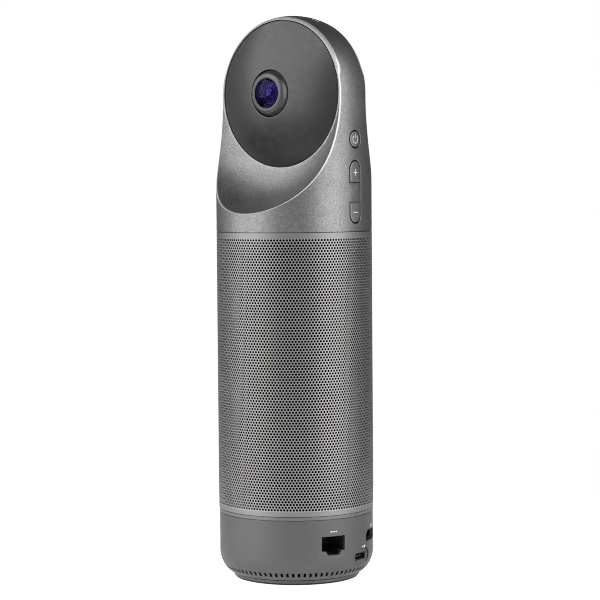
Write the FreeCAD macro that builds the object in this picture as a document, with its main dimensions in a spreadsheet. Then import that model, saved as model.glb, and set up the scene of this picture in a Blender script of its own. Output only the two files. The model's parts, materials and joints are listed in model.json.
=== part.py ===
"""A pillar-form conference camera with a lens on each side of its head.

The frame: origin under the middle of the foot, +Z up, the front lens looks along -Y,
the keys and the sockets are on the +X side.  Millimetres.
"""

import FreeCAD
import Part
import math
import os
import Sketcher
from FreeCAD import Placement, Rotation, Vector

doc = FreeCAD.newDocument("PillarCamera")

# ---------------------------------------------------------------- driving dimensions

DIMENSIONS = [
    # the pillar
    ("body_radius", 38.0, "outer radius of the pillar and of its round crown"),
    ("wall", 2.0, "wall of the moulded shells"),
    ("lens_height", 236.0, "height of both lens axes, and of the crown's centre"),
    ("head_bottom", 169.5, "lower edge of the head housing"),
    ("seam_gap", 0.3, "open seam between two shells"),
    # scoops under the lens plates
    ("rim_height", 10.2, "distance of the plate's rim from the pillar's middle plane"),
    ("rim_radius", 36.5, "where the scoop starts, from the lens axis"),
    ("recess_radius", 35.65, "recess that holds the lens plate"),
    ("recess_chamfer", 0.35, "chamfer round that recess"),
    ("seat_height", 7.8, "floor of that recess, from the middle plane"),
    ("scoop_centre_out", 44.3, "centre of the scoop's arc, from the middle plane"),
    ("scoop_centre_up", 20.6, "centre of the scoop's arc, from the lens axis"),
    ("camera_opening", 24.0, "radius of the hole behind each lens plate"),
    # lens plate, bezel, barrel and glass: radius from the lens axis, height from the middle plane
    ("plate_radius", 35.35, "outer radius of the lens plate"),
    ("plate_edge", 9.7, "height of the plate's edge"),
    ("plate_crown", 18.1, "height of the plate at its hole"),
    ("plate_hole", 11.7, "radius of the hole in the plate"),
    ("plate_wall", 1.6, "thickness of the plate"),
    ("plate_bulge", 90.0, "radius of the plate's gentle curve"),
    ("bezel_radius", 11.4, "foot of the lens bezel"),
    ("bezel_lip", 8.8, "lip of the lens bezel"),
    ("bezel_top", 20.8, "height of the bezel's lip"),
    ("barrel_radius", 8.0, "lens barrel"),
    ("barrel_flange", 11.0, "flange of the lens barrel on its board"),
    ("glass_radius", 7.2, "edge of the domed front glass"),
    ("glass_edge", 20.7, "height of the glass's edge"),
    ("glass_apex", 23.4, "height of the middle of the glass"),
    ("glass_seat", 17.4, "ledge that the glass rests on"),
    ("inner_lens_radius", 5.5, "second lens in the barrel"),
    # keys
    ("key_width", 8.6, "width of the key recess, and the round key's hole"),
    ("key_clearance", 0.15, "gap round a key"),
    ("key_face", 37.9, "radius of the key faces from the pillar's axis"),
    ("key_bridge", 37.3, "radius of the dished strip between the volume keys"),
    ("power_height", 213.5, "middle of the power key"),
    ("pill_bottom", 173.3, "lower end of the volume recess"),
    ("pill_top", 203.5, "upper end of the volume recess"),
    ("minus_top", 183.4, "upper end of the volume down key"),
    ("plus_bottom", 192.9, "lower end of the volume up key"),
    ("key_back", 34.4, "back of the key flange, from the pillar's axis"),
    ("key_flange", 0.8, "thickness of the flange that keeps a key in"),
    ("flange_lip", 0.85, "how far that flange stands out behind the wall"),
    ("stem_length", 0.45, "pip on the back of a key"),
    ("key_board_face", 32.6, "outer face of the key board"),
    ("switch_height", 0.8, "height of a switch with its plunger"),
    # base
    ("base_radius", 37.7, "outer radius of the base"),
    ("base_top", 32.1, "upper edge of the base shell"),
    ("base_bottom", 2.7, "lower edge of the base shell"),
    ("base_round", 12.5, "radius of the base's lower rounding"),
    ("base_round_top", 13.0, "height where that rounding starts"),
    ("base_mouth", 30.0, "opening under the base"),
    ("trim_top", 34.2, "upper edge of the trim ring, and foot of the grille"),
    ("vent_count", 80.0, "vent slots round the base"),
    ("vent_low", 4.6, "lower end of a vent slot"),
    ("vent_high", 6.6, "upper end of a vent slot"),
    ("vent_width", 1.2, "width of a vent slot"),
    ("cover_radius", 30.8, "rim of the bottom cover"),
    ("cover_low", 0.9, "underside of the bottom cover"),
    ("cover_rim_top", 2.1, "top of the cover's rim"),
    ("cover_top", 4.0, "top of the bottom cover"),
    ("foot_outer", 30.0, "rubber foot, outer radius"),
    ("foot_inner", 25.2, "rubber foot, inner radius"),
    ("foot_seat", 1.4, "depth line of the groove that holds the foot"),
    ("insert_outer", 4.5, "tripod insert, outer radius"),
    ("insert_bore", 2.55, "tripod insert, radius of its thread's crests"),
    ("insert_top", 9.0, "top of the tripod insert"),
    # sockets: angles go from the front lens towards the key side
    ("lan_angle", 67.0, "direction of the network socket"),
    ("lan_width", 12.6, "mouth of the network socket"),
    ("lan_low", 17.0, "lower edge of the mouth"),
    ("lan_high", 24.1, "upper edge of the mouth"),
    ("lan_step_width", 8.0, "upper half of the notch for the plug's latch"),
    ("lan_notch_width", 6.8, "lower half of that notch"),
    ("lan_step", 1.0, "height of each half"),
    ("av_angle", 114.0, "direction of the display socket"),
    ("av_width", 15.2, "mouth of the display socket"),
    ("av_low", 18.8, "lower edge of its mouth"),
    ("av_high", 24.1, "upper edge of its mouth"),
    ("usb_angle", 96.0, "direction of the power socket"),
    ("usb_height", 12.1, "middle of the power socket"),
    ("usb_width", 9.0, "width of its shell"),
    ("usb_tall", 3.3, "height of its shell"),
    ("dish_radius", 4.2, "half height of the dish round the power socket"),
    ("io_board_low", 24.6, "underside of the socket board"),
    ("board", 1.6, "thickness of the large circuit boards"),
    # middle section
    ("grille_wall", 0.8, "sheet of the speaker grille"),
    ("liner_outer", 36.9, "acoustic cloth, outer radius"),
    ("liner_wall", 0.3, "acoustic cloth, thickness"),
    ("cage_outer", 36.4, "inner cage, outer radius"),
    ("cage_wall", 1.8, "inner cage, wall"),
    ("deck_top", 36.5, "top of the lower bulkhead"),
    ("shelf_low", 166.0, "underside of the upper bulkhead"),
    ("mic_board_low", 164.0, "underside of the microphone board"),
    # fan
    ("fan_size", 40.0, "side of the fan's frame"),
    ("fan_height", 10.0, "height of the fan"),
    ("fan_bore", 19.0, "tunnel of the fan"),
    ("blade_radius", 18.5, "tip of the fan's blades"),
    ("hub_radius", 9.0, "hub of the fan's rotor"),
    ("fan_shaft_radius", 1.0, "shaft of the fan"),
    ("shaft_clearance", 0.05, "running clearance of that shaft"),
    # speaker
    ("speaker_height", 127.0, "height of the speaker's axis"),
    ("speaker_face", 23.0, "front of the speaker box, from the pillar's axis"),
    ("speaker_flange", 22.4, "flange of the speaker's basket"),
    ("speaker_cone_radius", 17.9, "edge of the cone"),
    ("surround_inner", 18.2, "rubber surround, inner radius"),
    ("surround_outer", 20.2, "rubber surround, outer radius"),
]

sheet = doc.addObject("Spreadsheet::Sheet", "Sizes")
for row, (alias, number, meaning) in enumerate(DIMENSIONS, start=1):
    sheet.set("A%d" % row, meaning)
    sheet.set("B%d" % row, str(number))
    sheet.setAlias("B%d" % row, alias)
doc.recompute()


class Dim:
    """A size from the sheet, or one worked out from such sizes: its value and its formula."""

    def __init__(self, value, formula):
        self.value = value
        self.formula = formula

    def __add__(self, other):
        other = as_dim(other)
        return Dim(self.value + other.value, "(%s + %s)" % (self.formula, other.formula))

    def __sub__(self, other):
        other = as_dim(other)
        return Dim(self.value - other.value, "(%s - %s)" % (self.formula, other.formula))

    def __mul__(self, other):
        other = as_dim(other)
        return Dim(self.value * other.value, "(%s * %s)" % (self.formula, other.formula))

    def __truediv__(self, other):
        other = as_dim(other)
        return Dim(self.value / other.value, "(%s / %s)" % (self.formula, other.formula))

    def __neg__(self):
        return self * -1


def as_dim(number):
    return number if isinstance(number, Dim) else Dim(float(number), "%.6f" % number)


def sheet_dim(alias):
    return Dim(float(sheet.get(alias)), "Sizes." + alias)


def cosine(angle):
    angle = as_dim(angle)
    return Dim(math.cos(math.radians(angle.value)), "cos(%s * 1 deg)" % angle.formula)


def sine(angle):
    angle = as_dim(angle)
    return Dim(math.sin(math.radians(angle.value)), "sin(%s * 1 deg)" % angle.formula)


def hypotenuse(one, two):
    one, two = as_dim(one), as_dim(two)
    formula = "sqrt(%s * %s + %s * %s)" % (one.formula, one.formula, two.formula, two.formula)
    return Dim(math.hypot(one.value, two.value), formula)


def cap_radius(across, rise):
    """The radius of a dome that rises that much over that half width."""
    across, rise = as_dim(across), as_dim(rise)
    return (across * across + rise * rise) / (rise * 2)


D = {alias: sheet_dim(alias) for alias, number, meaning in DIMENSIONS}

# ---------------------------------------------------------------- building blocks

UPRIGHT = Rotation()
FORWARD = Rotation(Vector(1, 0, 0), 90)
BACKWARD = Rotation(Vector(1, 0, 0), -90)
SIDEWAYS = Rotation(Vector(0, 1, 0), 90)
subparts = []


def place(obj, at=(0, 0, 0), rotation=UPRIGHT):
    """Puts an object at a point whose coordinates stay bound to the sheet."""
    point = [as_dim(number) for number in at]
    obj.Placement = Placement(Vector(*[number.value for number in point]), rotation)
    for axis, number in zip("xyz", point):
        obj.setExpression(".Placement.Base." + axis, number.formula)
    return obj


def new(kind, name, sizes=None, at=(0, 0, 0), rotation=UPRIGHT):
    obj = doc.addObject(kind, name)
    for prop, number in (sizes or {}).items():
        obj.setExpression(prop, as_dim(number).formula)
    return place(obj, at, rotation)


def cylinder(name, radius, height, at=(0, 0, 0), rotation=UPRIGHT):
    return new("Part::Cylinder", name, {"Radius": radius, "Height": height}, at, rotation)


def box(name, low, high):
    """A box between two corners."""
    low = [as_dim(number) for number in low]
    high = [as_dim(number) for number in high]
    lengths = [b - a for a, b in zip(low, high)]
    return new("Part::Box", name, dict(zip(("Length", "Width", "Height"), lengths)), low)


def radial_box(name, near, far, width, low, high, angle, shift=0):
    """A box along a spoke: from near to far of the axis, across it by width, moved by shift."""
    near, far, width, low, high = [as_dim(number) for number in (near, far, width, low, high)]
    turn = as_dim(angle) - 90
    side = width / 2 - shift
    at = (near * cosine(turn) + side * sine(turn), near * sine(turn) - side * cosine(turn), low)
    sizes = {"Length": far - near, "Width": width, "Height": high - low}
    obj = new("Part::Box", name, sizes, at, Rotation(Vector(0, 0, 1), turn.value))
    obj.setExpression(".Placement.Rotation.Angle", turn.formula)
    return obj


def fuse(name, *shapes):
    obj = doc.addObject("Part::MultiFuse", name)
    obj.Shapes = list(shapes)
    return obj


def group(name, shapes):
    obj = doc.addObject("Part::Compound", name)
    obj.Links = list(shapes)
    return obj


def cut(name, base, *tools):
    obj = doc.addObject("Part::Cut", name)
    obj.Base = base
    obj.Tool = tools[0] if len(tools) == 1 else fuse(name + "_tools", *tools)
    return obj


def common(name, one, two):
    obj = doc.addObject("Part::Common", name)
    obj.Base = one
    obj.Tool = two
    return obj


class Bend:
    """The end of an arc in a profile; side is +1 where the arc turns left."""

    def __init__(self, across, up, radius, side):
        self.point = (across, up)
        self.radius = as_dim(radius)
        self.side = side


def arc_between(start, end, radius, side):
    """An arc of that radius from start to end, turning left where side is +1."""
    middle = (start + end) * 0.5
    chord = end - start
    half = chord.Length / 2
    rise = math.sqrt(max(radius * radius - half * half, 0.0))
    normal = Vector(-chord.y, chord.x, 0).normalize()
    centre = middle + normal * rise * side
    first, last = (start, end) if side > 0 else (end, start)
    angles = [math.atan2(point.y - centre.y, point.x - centre.x) for point in (first, last)]
    if angles[1] < angles[0]:
        angles[1] += 2 * math.pi
    circle = Part.Circle(centre, Vector(0, 0, 1), radius)
    return Part.ArcOfCircle(circle, angles[0], angles[1])


def pin(sketch, edge, end, point):
    """Holds a corner of a profile at its two distances from the sketch's axes."""
    for number, kind, axis in ((point[0], "DistanceX", -2), (point[1], "DistanceY", -1)):
        if abs(number.value) < 1e-9:
            sketch.addConstraint(Sketcher.Constraint("PointOnObject", edge, end, axis))
        else:
            index = sketch.addConstraint(Sketcher.Constraint(kind, edge, end, number.value))
            sketch.setExpression("Constraints[%d]" % index, number.formula)


def profile_sketch(body, plane, path):
    """A closed profile of lines and arcs, fully bound to the sheet."""
    sketch = body.newObject("Sketcher::SketchObject", body.Name + "_profile")
    for feature in body.Origin.OriginFeatures:
        if feature.Role == plane:
            sketch.AttachmentSupport = [(feature, "")]
    sketch.MapMode = "FlatFace"
    ends = [step.point if isinstance(step, Bend) else step for step in path]
    ends = [tuple(as_dim(number) for number in point) for point in ends]
    corners = [Vector(point[0].value, point[1].value, 0) for point in ends]
    edges = []
    for index in range(len(path)):
        after = (index + 1) % len(path)
        step = path[after]
        if isinstance(step, Bend):
            arc = arc_between(corners[index], corners[after], step.radius.value, step.side)
            edge = sketch.addGeometry(arc, False)
            start, end = (1, 2) if step.side > 0 else (2, 1)
            radius = sketch.addConstraint(Sketcher.Constraint("Radius", edge, step.radius.value))
            sketch.setExpression("Constraints[%d]" % radius, step.radius.formula)
        else:
            edge = sketch.addGeometry(Part.LineSegment(corners[index], corners[after]), False)
            start, end = 1, 2
        edges.append((edge, start, end))
    for index, (edge, start, end) in enumerate(edges):
        pin(sketch, edge, start, ends[index])
        follower = edges[(index + 1) % len(edges)]
        sketch.addConstraint(
            Sketcher.Constraint("Coincident", edge, end, follower[0], follower[1])
        )
    return sketch


def turned(name, path, at=(0, 0, 0), rotation=UPRIGHT):
    """A turned body: a profile of (radius, height) points revolved about its own Z axis."""
    body = doc.addObject("PartDesign::Body", name)
    sketch = profile_sketch(body, "XZ_Plane", path)
    feature = body.newObject("PartDesign::Revolution", name + "_turn")
    feature.Profile = sketch
    feature.ReferenceAxis = (sketch, ["V_Axis"])
    feature.Angle = 360
    return place(body, at, rotation)


def ring(name, inner, outer, low, high, at=(0, 0, 0), rotation=UPRIGHT):
    return turned(
        name, [(inner, low), (outer, low), (outer, high), (inner, high)], at, rotation
    )


def prism(name, path, length, at=(0, 0, 0), rotation=UPRIGHT):
    """An outline of (across, up) points padded along the body's own X axis."""
    body = doc.addObject("PartDesign::Body", name)
    sketch = profile_sketch(body, "YZ_Plane", path)
    feature = body.newObject("PartDesign::Pad", name + "_pad")
    feature.Profile = sketch
    feature.setExpression("Length", as_dim(length).formula)
    return place(body, at, rotation)


def keep(obj, name=None):
    """Lists an object as a sub-part of the camera under its own label."""
    obj.Label = name or obj.Name
    subparts.append(obj)
    return obj


def spoke(radius, angle):
    """A point at that angle from the front lens towards the key side."""
    return (as_dim(radius) * sine(angle), -(as_dim(radius) * cosine(angle)))


# ---------------------------------------------------------------- foot and base

FLANGE_SCREW = {"head": 2.6, "shank": 1.45, "head_height": 1.3}
STANDOFF_ANGLES = (20, 130, 200, 290)
STANDOFF_CIRCLE = 19.0
STANDOFF_RADIUS = 3.0


def pan_screw(name, at, head_low, head_high, tip):
    """A screw on a vertical line, with its head between two heights and its tip at a third."""
    head = cylinder(name + "_head", FLANGE_SCREW["head"], head_high - head_low, (*at, head_low))
    if tip.value > head_high.value:
        shank = cylinder(name + "_shank", FLANGE_SCREW["shank"], tip - head_high, (*at, head_high))
    else:
        shank = cylinder(name + "_shank", FLANGE_SCREW["shank"], head_low - tip, (*at, tip))
    return fuse(name, head, shank)


def build_foot_and_cover():
    keep(ring("foot_ring", D["foot_inner"], D["foot_outer"], 0, D["foot_seat"]))
    low, top = D["cover_low"], D["cover_top"]
    slack = 0.2
    boss = D["insert_outer"] + 3
    disc = turned(
        "cover_disc",
        [
            (D["insert_outer"], low),
            (D["foot_inner"] - slack, low),
            (D["foot_inner"] - slack, D["foot_seat"]),
            (D["foot_outer"] + slack, D["foot_seat"]),
            (D["foot_outer"] + slack, low),
            (D["cover_radius"], low),
            (D["cover_radius"], D["cover_rim_top"]),
            (D["base_mouth"] - slack, D["cover_rim_top"]),
            (D["base_mouth"] - slack, top),
            (boss, top),
            (boss, D["insert_top"] + 1),
            (D["insert_outer"], D["insert_top"] + 1),
        ],
    )
    counterbore = low + FLANGE_SCREW["head_height"] + 0.1
    tools = []
    screws = []
    for index, angle in enumerate(STANDOFF_ANGLES):
        at = spoke(STANDOFF_CIRCLE, angle)
        name = "cover_screw_%d" % (index + 1)
        tools.append(cylinder(name + "_bore", FLANGE_SCREW["shank"], top, (*at, 0)))
        tools.append(cylinder(name + "_sink", FLANGE_SCREW["head"] + slack, counterbore, (*at, 0)))
        head_low = counterbore - FLANGE_SCREW["head_height"]
        screws.append(pan_screw(name, at, head_low, counterbore, as_dim(12)))
    keep(cut("bottom_cover", disc, *tools))
    keep(group("cover_screws", screws))
    keep(ring("tripod_insert", D["insert_bore"], D["insert_outer"], low, D["insert_top"]))


def build_base_shell():
    """The base: a turned cup with vent slots, then its socket mouths."""
    outer, wall = D["base_radius"], D["wall"]
    round_centre = outer - D["base_round"]
    drop = D["base_round_top"] - D["base_bottom"]
    lip = drop - wall
    outer_foot = Dim(
        round_centre.value + math.sqrt(D["base_round"].value ** 2 - drop.value**2),
        "(%s + sqrt(%s^2 - %s^2))"
        % (round_centre.formula, D["base_round"].formula, drop.formula),
    )
    inner_round = D["base_round"] - wall
    inner_foot = Dim(
        round_centre.value + math.sqrt(inner_round.value**2 - lip.value**2),
        "(%s + sqrt(%s^2 - %s^2))" % (round_centre.formula, inner_round.formula, lip.formula),
    )
    body = turned(
        "base_cup",
        [
            (D["base_mouth"], D["base_bottom"]),
            (outer_foot, D["base_bottom"]),
            Bend(outer, D["base_round_top"], D["base_round"], 1),
            (outer, D["base_top"]),
            (outer - wall, D["base_top"]),
            (outer - wall, D["base_round_top"]),
            Bend(inner_foot, D["base_bottom"] + wall, inner_round, -1),
            (D["base_mouth"], D["base_bottom"] + wall),
        ],
    )
    doc.recompute()
    solid_volume = body.Shape.Volume
    slot = profile_sketch(
        body,
        "XZ_Plane",
        [
            (D["base_mouth"] + 1, D["vent_low"]),
            (outer + 1, D["vent_low"]),
            (outer + 1, D["vent_high"]),
            (D["base_mouth"] + 1, D["vent_high"]),
        ],
    )
    pocket = body.newObject("PartDesign::Pocket", "vent_slot")
    pocket.Profile = slot
    pocket.Midplane = True
    pocket.setExpression("Length", D["vent_width"].formula)
    pattern = body.newObject("PartDesign::PolarPattern", "vent_slots")
    pattern.Originals = [pocket]
    pattern.Axis = (slot, ["V_Axis"])
    pattern.Angle = 360
    pattern.setExpression("Occurrences", D["vent_count"].formula)
    body.Tip = pattern
    doc.recompute()
    assert body.Shape.Volume < solid_volume - 100, "the vent slots cut nothing"

    inside, outside = outer - 6, outer + 3
    lan, av, usb = D["lan_angle"], D["av_angle"], D["usb_angle"]
    usb_low = D["usb_height"] - D["usb_tall"] / 2
    usb_high = D["usb_height"] + D["usb_tall"] / 2
    tools = [
        radial_box("lan_mouth", inside, outside, D["lan_width"], D["lan_low"], D["lan_high"], lan),
        *latch_notch("lan", inside, outside),
        display_prism("av_mouth", 0.2, inside, 9, av),
        radial_box("usb_mouth", inside - 4, outside, D["usb_width"] + 0.2, usb_low - 0.1,
                   usb_high + 0.1, usb),
        pill_dish(),
    ]
    keep(cut("base_shell", body, *tools))


def latch_notch(name, near, far):
    """The stepped notch under the network socket's mouth."""
    middle = D["lan_low"] - D["lan_step"]
    step = radial_box(
        name + "_step", near, far, D["lan_step_width"], middle, D["lan_low"], D["lan_angle"]
    )
    notch = radial_box(
        name + "_notch", near, far, D["lan_notch_width"], middle - D["lan_step"], middle, D["lan_angle"]
    )
    return step, notch


def display_prism(name, clearance, start, length, angle):
    """The outline of a display plug's shell, with its two upper corners cut off."""
    half = D["av_width"] / 2 - 0.2 + clearance
    low = D["av_low"] + 0.2 - clearance
    high = D["av_high"] - 0.2 + clearance
    corner = 1.9
    start = as_dim(start)
    turn = as_dim(angle) - 90
    outline = [
        (-half, low),
        (half, low),
        (half, high - corner),
        (half - corner, high),
        (-half + corner, high),
        (-half, high - corner),
    ]
    at = (start * cosine(turn), start * sine(turn), 0)
    obj = prism(name, outline, length, at, Rotation(Vector(0, 0, 1), turn.value))
    obj.setExpression(".Placement.Rotation.Angle", turn.formula)
    return obj


def pill_dish():
    """The shallow dish round the power socket, cut 1 mm into the wall."""
    depth = D["base_radius"] - 1.2
    reach = D["usb_width"] / 2 + 0.6
    turn = D["usb_angle"] - 90
    radius = D["dish_radius"]
    shapes = []
    for name, side in (("dish_left", -1), ("dish_right", 1)):
        offset = reach * side * 0.55
        at = (
            depth * cosine(turn) - offset * sine(turn),
            depth * sine(turn) + offset * cosine(turn),
            D["usb_height"],
        )
        tilt = Rotation(Vector(0, 0, 1), turn.value) * SIDEWAYS
        shapes.append(cylinder(name, radius, 6, at, tilt))
    shapes.append(
        radial_box("dish_middle", depth, depth + 6, reach * 1.1, D["usb_height"] - radius,
                   D["usb_height"] + radius, D["usb_angle"])
    )
    return fuse("usb_dish", *shapes)


def build_trim_ring():
    low, top = D["base_top"], D["trim_top"]
    inner, outer = D["base_radius"] - D["wall"] - 1, D["body_radius"] - 0.2
    seam, seam_depth = D["seam_gap"], 0.7
    groove = outer - seam_depth
    keep(
        turned(
            "trim_ring",
            [
                (inner, low),
                (groove, low),
                (groove, low + seam),
                (outer, low + seam),
                (outer, top - seam),
                (groove, top - seam),
                (groove, top),
                (inner, top),
            ],
        )
    )


# ---------------------------------------------------------------- sockets and their boards


def build_socket_boards():
    low, high = D["io_board_low"], D["io_board_low"] + D["board"]
    inner, outer = 14, 34.4
    disc = ring("io_disc", inner, outer, low, high)
    bores, posts, screws = [], [], []
    for index, angle in enumerate(STANDOFF_ANGLES):
        at = spoke(STANDOFF_CIRCLE, angle)
        name = "standoff_%d" % (index + 1)
        bores.append(cylinder(name + "_hole", FLANGE_SCREW["shank"], 4, (*at, low - 1)))
        post = cylinder(name + "_post", STANDOFF_RADIUS, low - D["cover_top"], (*at, D["cover_top"]))
        thread = cylinder(name + "_thread", FLANGE_SCREW["shank"], low, (*at, 0))
        posts.append(cut(name, post, thread))
        head_high = high + FLANGE_SCREW["head_height"]
        screws.append(pan_screw("board_screw_%d" % (index + 1), at, high, head_high, low - 8))
    keep(cut("io_board", disc, *bores))
    keep(group("base_standoffs", posts))
    keep(group("board_screws", screws))

    top, thickness, width = D["usb_height"] - D["usb_tall"] / 2, 1.0, 12
    keep(radial_box("usb_board", 22, 33, width, top - thickness, top, D["usb_angle"]))


def build_lan_jack():
    """A network socket: a shielded block with a stepped mouth, and its eight contact wires."""
    angle, mouth = D["lan_angle"], D["base_radius"] - 3.1
    low, high = D["lan_low"], D["lan_high"]
    block = radial_box("lan_block", mouth - 20, mouth, 16, low - 3.2, D["io_board_low"], angle)
    inner = mouth - 14
    cavity = radial_box("lan_cavity", inner, mouth + 1, D["lan_width"], low, high, angle)
    keep(cut("lan_jack", block, cavity, *latch_notch("lan_cavity", inner, mouth + 1)))
    pitch, count = 1.02, 8
    wires = []
    for index in range(count):
        shift = (index - (count - 1) / 2) * pitch
        name = "lan_contact_%d" % (index + 1)
        wires.append(
            radial_box(name, inner, mouth - 3, 0.4, high - 1.0, high - 0.55, angle, shift)
        )
    keep(group("lan_contacts", wires))


def build_av_jack():
    """A display socket hung upside down under its board, with a tongue in its mouth."""
    angle, mouth = D["av_angle"], D["base_radius"] - 2.4
    depth, skin = 11.0, 0.45
    shell = display_prism("av_shell", 0, mouth - depth, depth, angle)
    cavity = display_prism("av_cavity", -skin, mouth - depth + 1.2, depth, angle)
    hollow = cut("av_hollow", shell, cavity)
    middle = (D["av_low"] + D["av_high"]) / 2
    tongue = radial_box("av_tongue", mouth - depth + 1.0, mouth - 2, 11.4, middle + 0.2,
                        middle + 1.5, angle)
    hanger = radial_box("av_hanger", mouth - depth + 1, mouth - 3, 8, D["av_high"] - 0.3,
                        D["io_board_low"], angle)
    keep(fuse("av_jack", hollow, tongue, hanger))


def build_usb_jack():
    """A power socket: a round-ended shell with a thin tongue."""
    angle, mouth = D["usb_angle"], D["base_radius"] - 1.6
    low = D["usb_height"] - D["usb_tall"] / 2
    high = D["usb_height"] + D["usb_tall"] / 2
    depth, skin, half = 7.4, 0.35, D["usb_tall"] / 2
    flat = D["usb_width"] - D["usb_tall"]

    def pill(name, shrink, near, far):
        turn = D["usb_angle"] - 90
        shapes = [
            radial_box(name + "_flat", near, far, flat, low + shrink, high - shrink, angle)
        ]
        for side in (-1, 1):
            offset = flat / 2 * side
            at = (
                near * cosine(turn) - offset * sine(turn),
                near * sine(turn) + offset * cosine(turn),
                D["usb_height"],
            )
            tilt = Rotation(Vector(0, 0, 1), turn.value) * SIDEWAYS
            end = name + ("_end_a" if side < 0 else "_end_b")
            shapes.append(cylinder(end, half - shrink, far - near, at, tilt))
        return fuse(name, *shapes)

    shell = pill("usb_shell", as_dim(0), mouth - depth, mouth)
    cavity = pill("usb_cavity", as_dim(skin), mouth - depth + 1, mouth + 1)
    hollow = cut("usb_hollow", shell, cavity)
    tongue = radial_box("usb_tongue", mouth - depth + 0.5, mouth - 0.8, 6.4,
                        D["usb_height"] - 0.35, D["usb_height"] + 0.35, angle)
    keep(fuse("usb_c_jack", hollow, tongue))


# ---------------------------------------------------------------- grille, cage and bulkheads


def build_middle_shells():
    top = D["head_bottom"] - D["seam_gap"]
    keep(ring("grille_tube", D["body_radius"] - D["grille_wall"], D["body_radius"], D["trim_top"], top))
    liner_inner = D["liner_outer"] - D["liner_wall"]
    keep(ring("grille_liner", liner_inner, D["liner_outer"], D["deck_top"], top - 1))

    tube = ring("cage_tube", D["cage_outer"] - D["cage_wall"], D["cage_outer"], D["deck_top"],
                D["shelf_low"])
    windows = []
    reach = 40
    wide, narrow = 21, 12
    for index, (low, high) in enumerate(((50, 90), (96, 156))):
        windows.append(box("front_window_%d" % index, (-wide, -reach, low), (wide, 0, high)))
        windows.append(box("rear_window_%d" % index, (-wide, 0, low), (wide, reach, high)))
        windows.append(box("side_window_%d" % index, (-reach, -narrow, low), (reach, narrow, high)))
    keep(cut("inner_cage", tube, *windows))


def build_bulkheads():
    half = D["fan_size"] / 2 - 4
    deck = ring("deck_disc", D["fan_bore"] - 1, D["cage_outer"], D["trim_top"], D["deck_top"])
    bores = []
    for index, (x, y) in enumerate(((1, 1), (-1, 1), (-1, -1), (1, -1))):
        at = (half * x, half * y, D["trim_top"] - 1)
        bores.append(cylinder("deck_bore_%d" % index, FLANGE_SCREW["shank"], 6, at))
    keep(cut("lower_bulkhead", deck, *bores))

    low, top = D["shelf_low"], D["head_bottom"] - D["seam_gap"]
    slack, cable_hole = 0.2, 8
    spigot = D["body_radius"] - D["wall"] - slack
    spigot_inner, spigot_top = spigot - D["wall"], top + 3.3
    keep(
        turned(
            "upper_bulkhead",
            [
                (cable_hole, low),
                (D["cage_outer"], low),
                (D["cage_outer"], top),
                (spigot, top),
                (spigot, spigot_top),
                (spigot_inner, spigot_top),
                (spigot_inner, low + D["wall"]),
                (cable_hole, low + D["wall"]),
            ],
        )
    )


def build_microphones():
    low, thickness = D["mic_board_low"], 1.2
    keep(ring("mic_board", 20, 34, low, low + thickness))
    capsules = []
    count, circle = 8, 31.0
    for index in range(count):
        angle = 360.0 / count * (index + 0.5)
        name = "mic_capsule_%d" % (index + 1)
        near, far, width, tall = circle - 1.5, circle + 1.5, 4, 1.1
        capsules.append(radial_box(name, near, far, width, low - tall, low, angle))
    keep(group("mic_capsules", capsules))


# ---------------------------------------------------------------- fan


def build_fan():
    low, high = D["deck_top"], D["deck_top"] + D["fan_height"]
    half, hole = D["fan_size"] / 2, D["fan_size"] / 2 - 4
    block = box("fan_block", (-half, -half, low), (half, half, high))
    tunnel = cylinder("fan_tunnel", D["fan_bore"], D["fan_height"] + 2, (0, 0, low - 1))
    bores, screws = [], []
    for index, (x, y) in enumerate(((1, 1), (-1, 1), (-1, -1), (1, -1))):
        at = (hole * x, hole * y)
        name = "fan_screw_%d" % (index + 1)
        bores.append(cylinder(name + "_hole", FLANGE_SCREW["shank"], 14, (*at, low - 1)))
        head_high = high + FLANGE_SCREW["head_height"]
        screws.append(pan_screw(name, at, high, head_high, D["trim_top"] + 0.2))
    frame = cut("fan_open_frame", block, tunnel, *bores)
    strut = 1.5
    hub = cylinder("fan_hub_plate", D["hub_radius"] - 1, strut, (0, 0, low))
    arms = [
        radial_box("fan_arm_%d" % angle, 4, D["fan_bore"] + 0.5, 2.4, low, low + strut, angle)
        for angle in (0, 120, 240)
    ]
    spider = fuse("fan_spider", frame, hub, *arms)
    bearing = D["fan_shaft_radius"] + D["shaft_clearance"]
    keep(cut("fan_frame", spider, cylinder("fan_bearing", bearing, 5, (0, 0, low - 1))))
    keep(group("fan_screws", screws))

    rotor_low, rotor_high = low + strut + 0.6, high - 0.6
    hub_body = ring("rotor_hub", D["fan_shaft_radius"], D["hub_radius"], rotor_low, rotor_high)
    blades = [fan_blade(index, rotor_low, rotor_high) for index in range(7)]
    keep(fuse("fan_rotor", hub_body, *blades))
    keep(cylinder("fan_shaft", D["fan_shaft_radius"], rotor_high - low - 0.2, (0, 0, low + 0.2)))


def fan_blade(index, low, high):
    """A flat blade set at a pitch across the tunnel and trimmed to the tunnel's circle."""
    count, pitch, thickness = 7, 38.0, 0.9
    chord = (high - low) / sine(90 - pitch) - 2
    turn = Rotation(Vector(0, 0, 1), 360.0 / count * index)
    tilt = Rotation(Vector(1, 0, 0), pitch)
    start, middle = D["hub_radius"] - 1, (low + high) / 2
    corner = (turn * tilt).multVec(Vector(0, -thickness / 2, -chord.value / 2))
    corner += turn.multVec(Vector(start.value, 0, 0)) + Vector(0, 0, middle.value)
    sizes = {"Length": D["blade_radius"] - start + 1, "Width": thickness, "Height": chord}
    blade = new("Part::Box", "blade_%d_plate" % index, sizes, tuple(corner), turn * tilt)
    limit = cylinder("blade_%d_limit" % index, D["blade_radius"], high - low, (0, 0, low))
    return common("blade_%d" % index, blade, limit)


# ---------------------------------------------------------------- speaker


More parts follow.
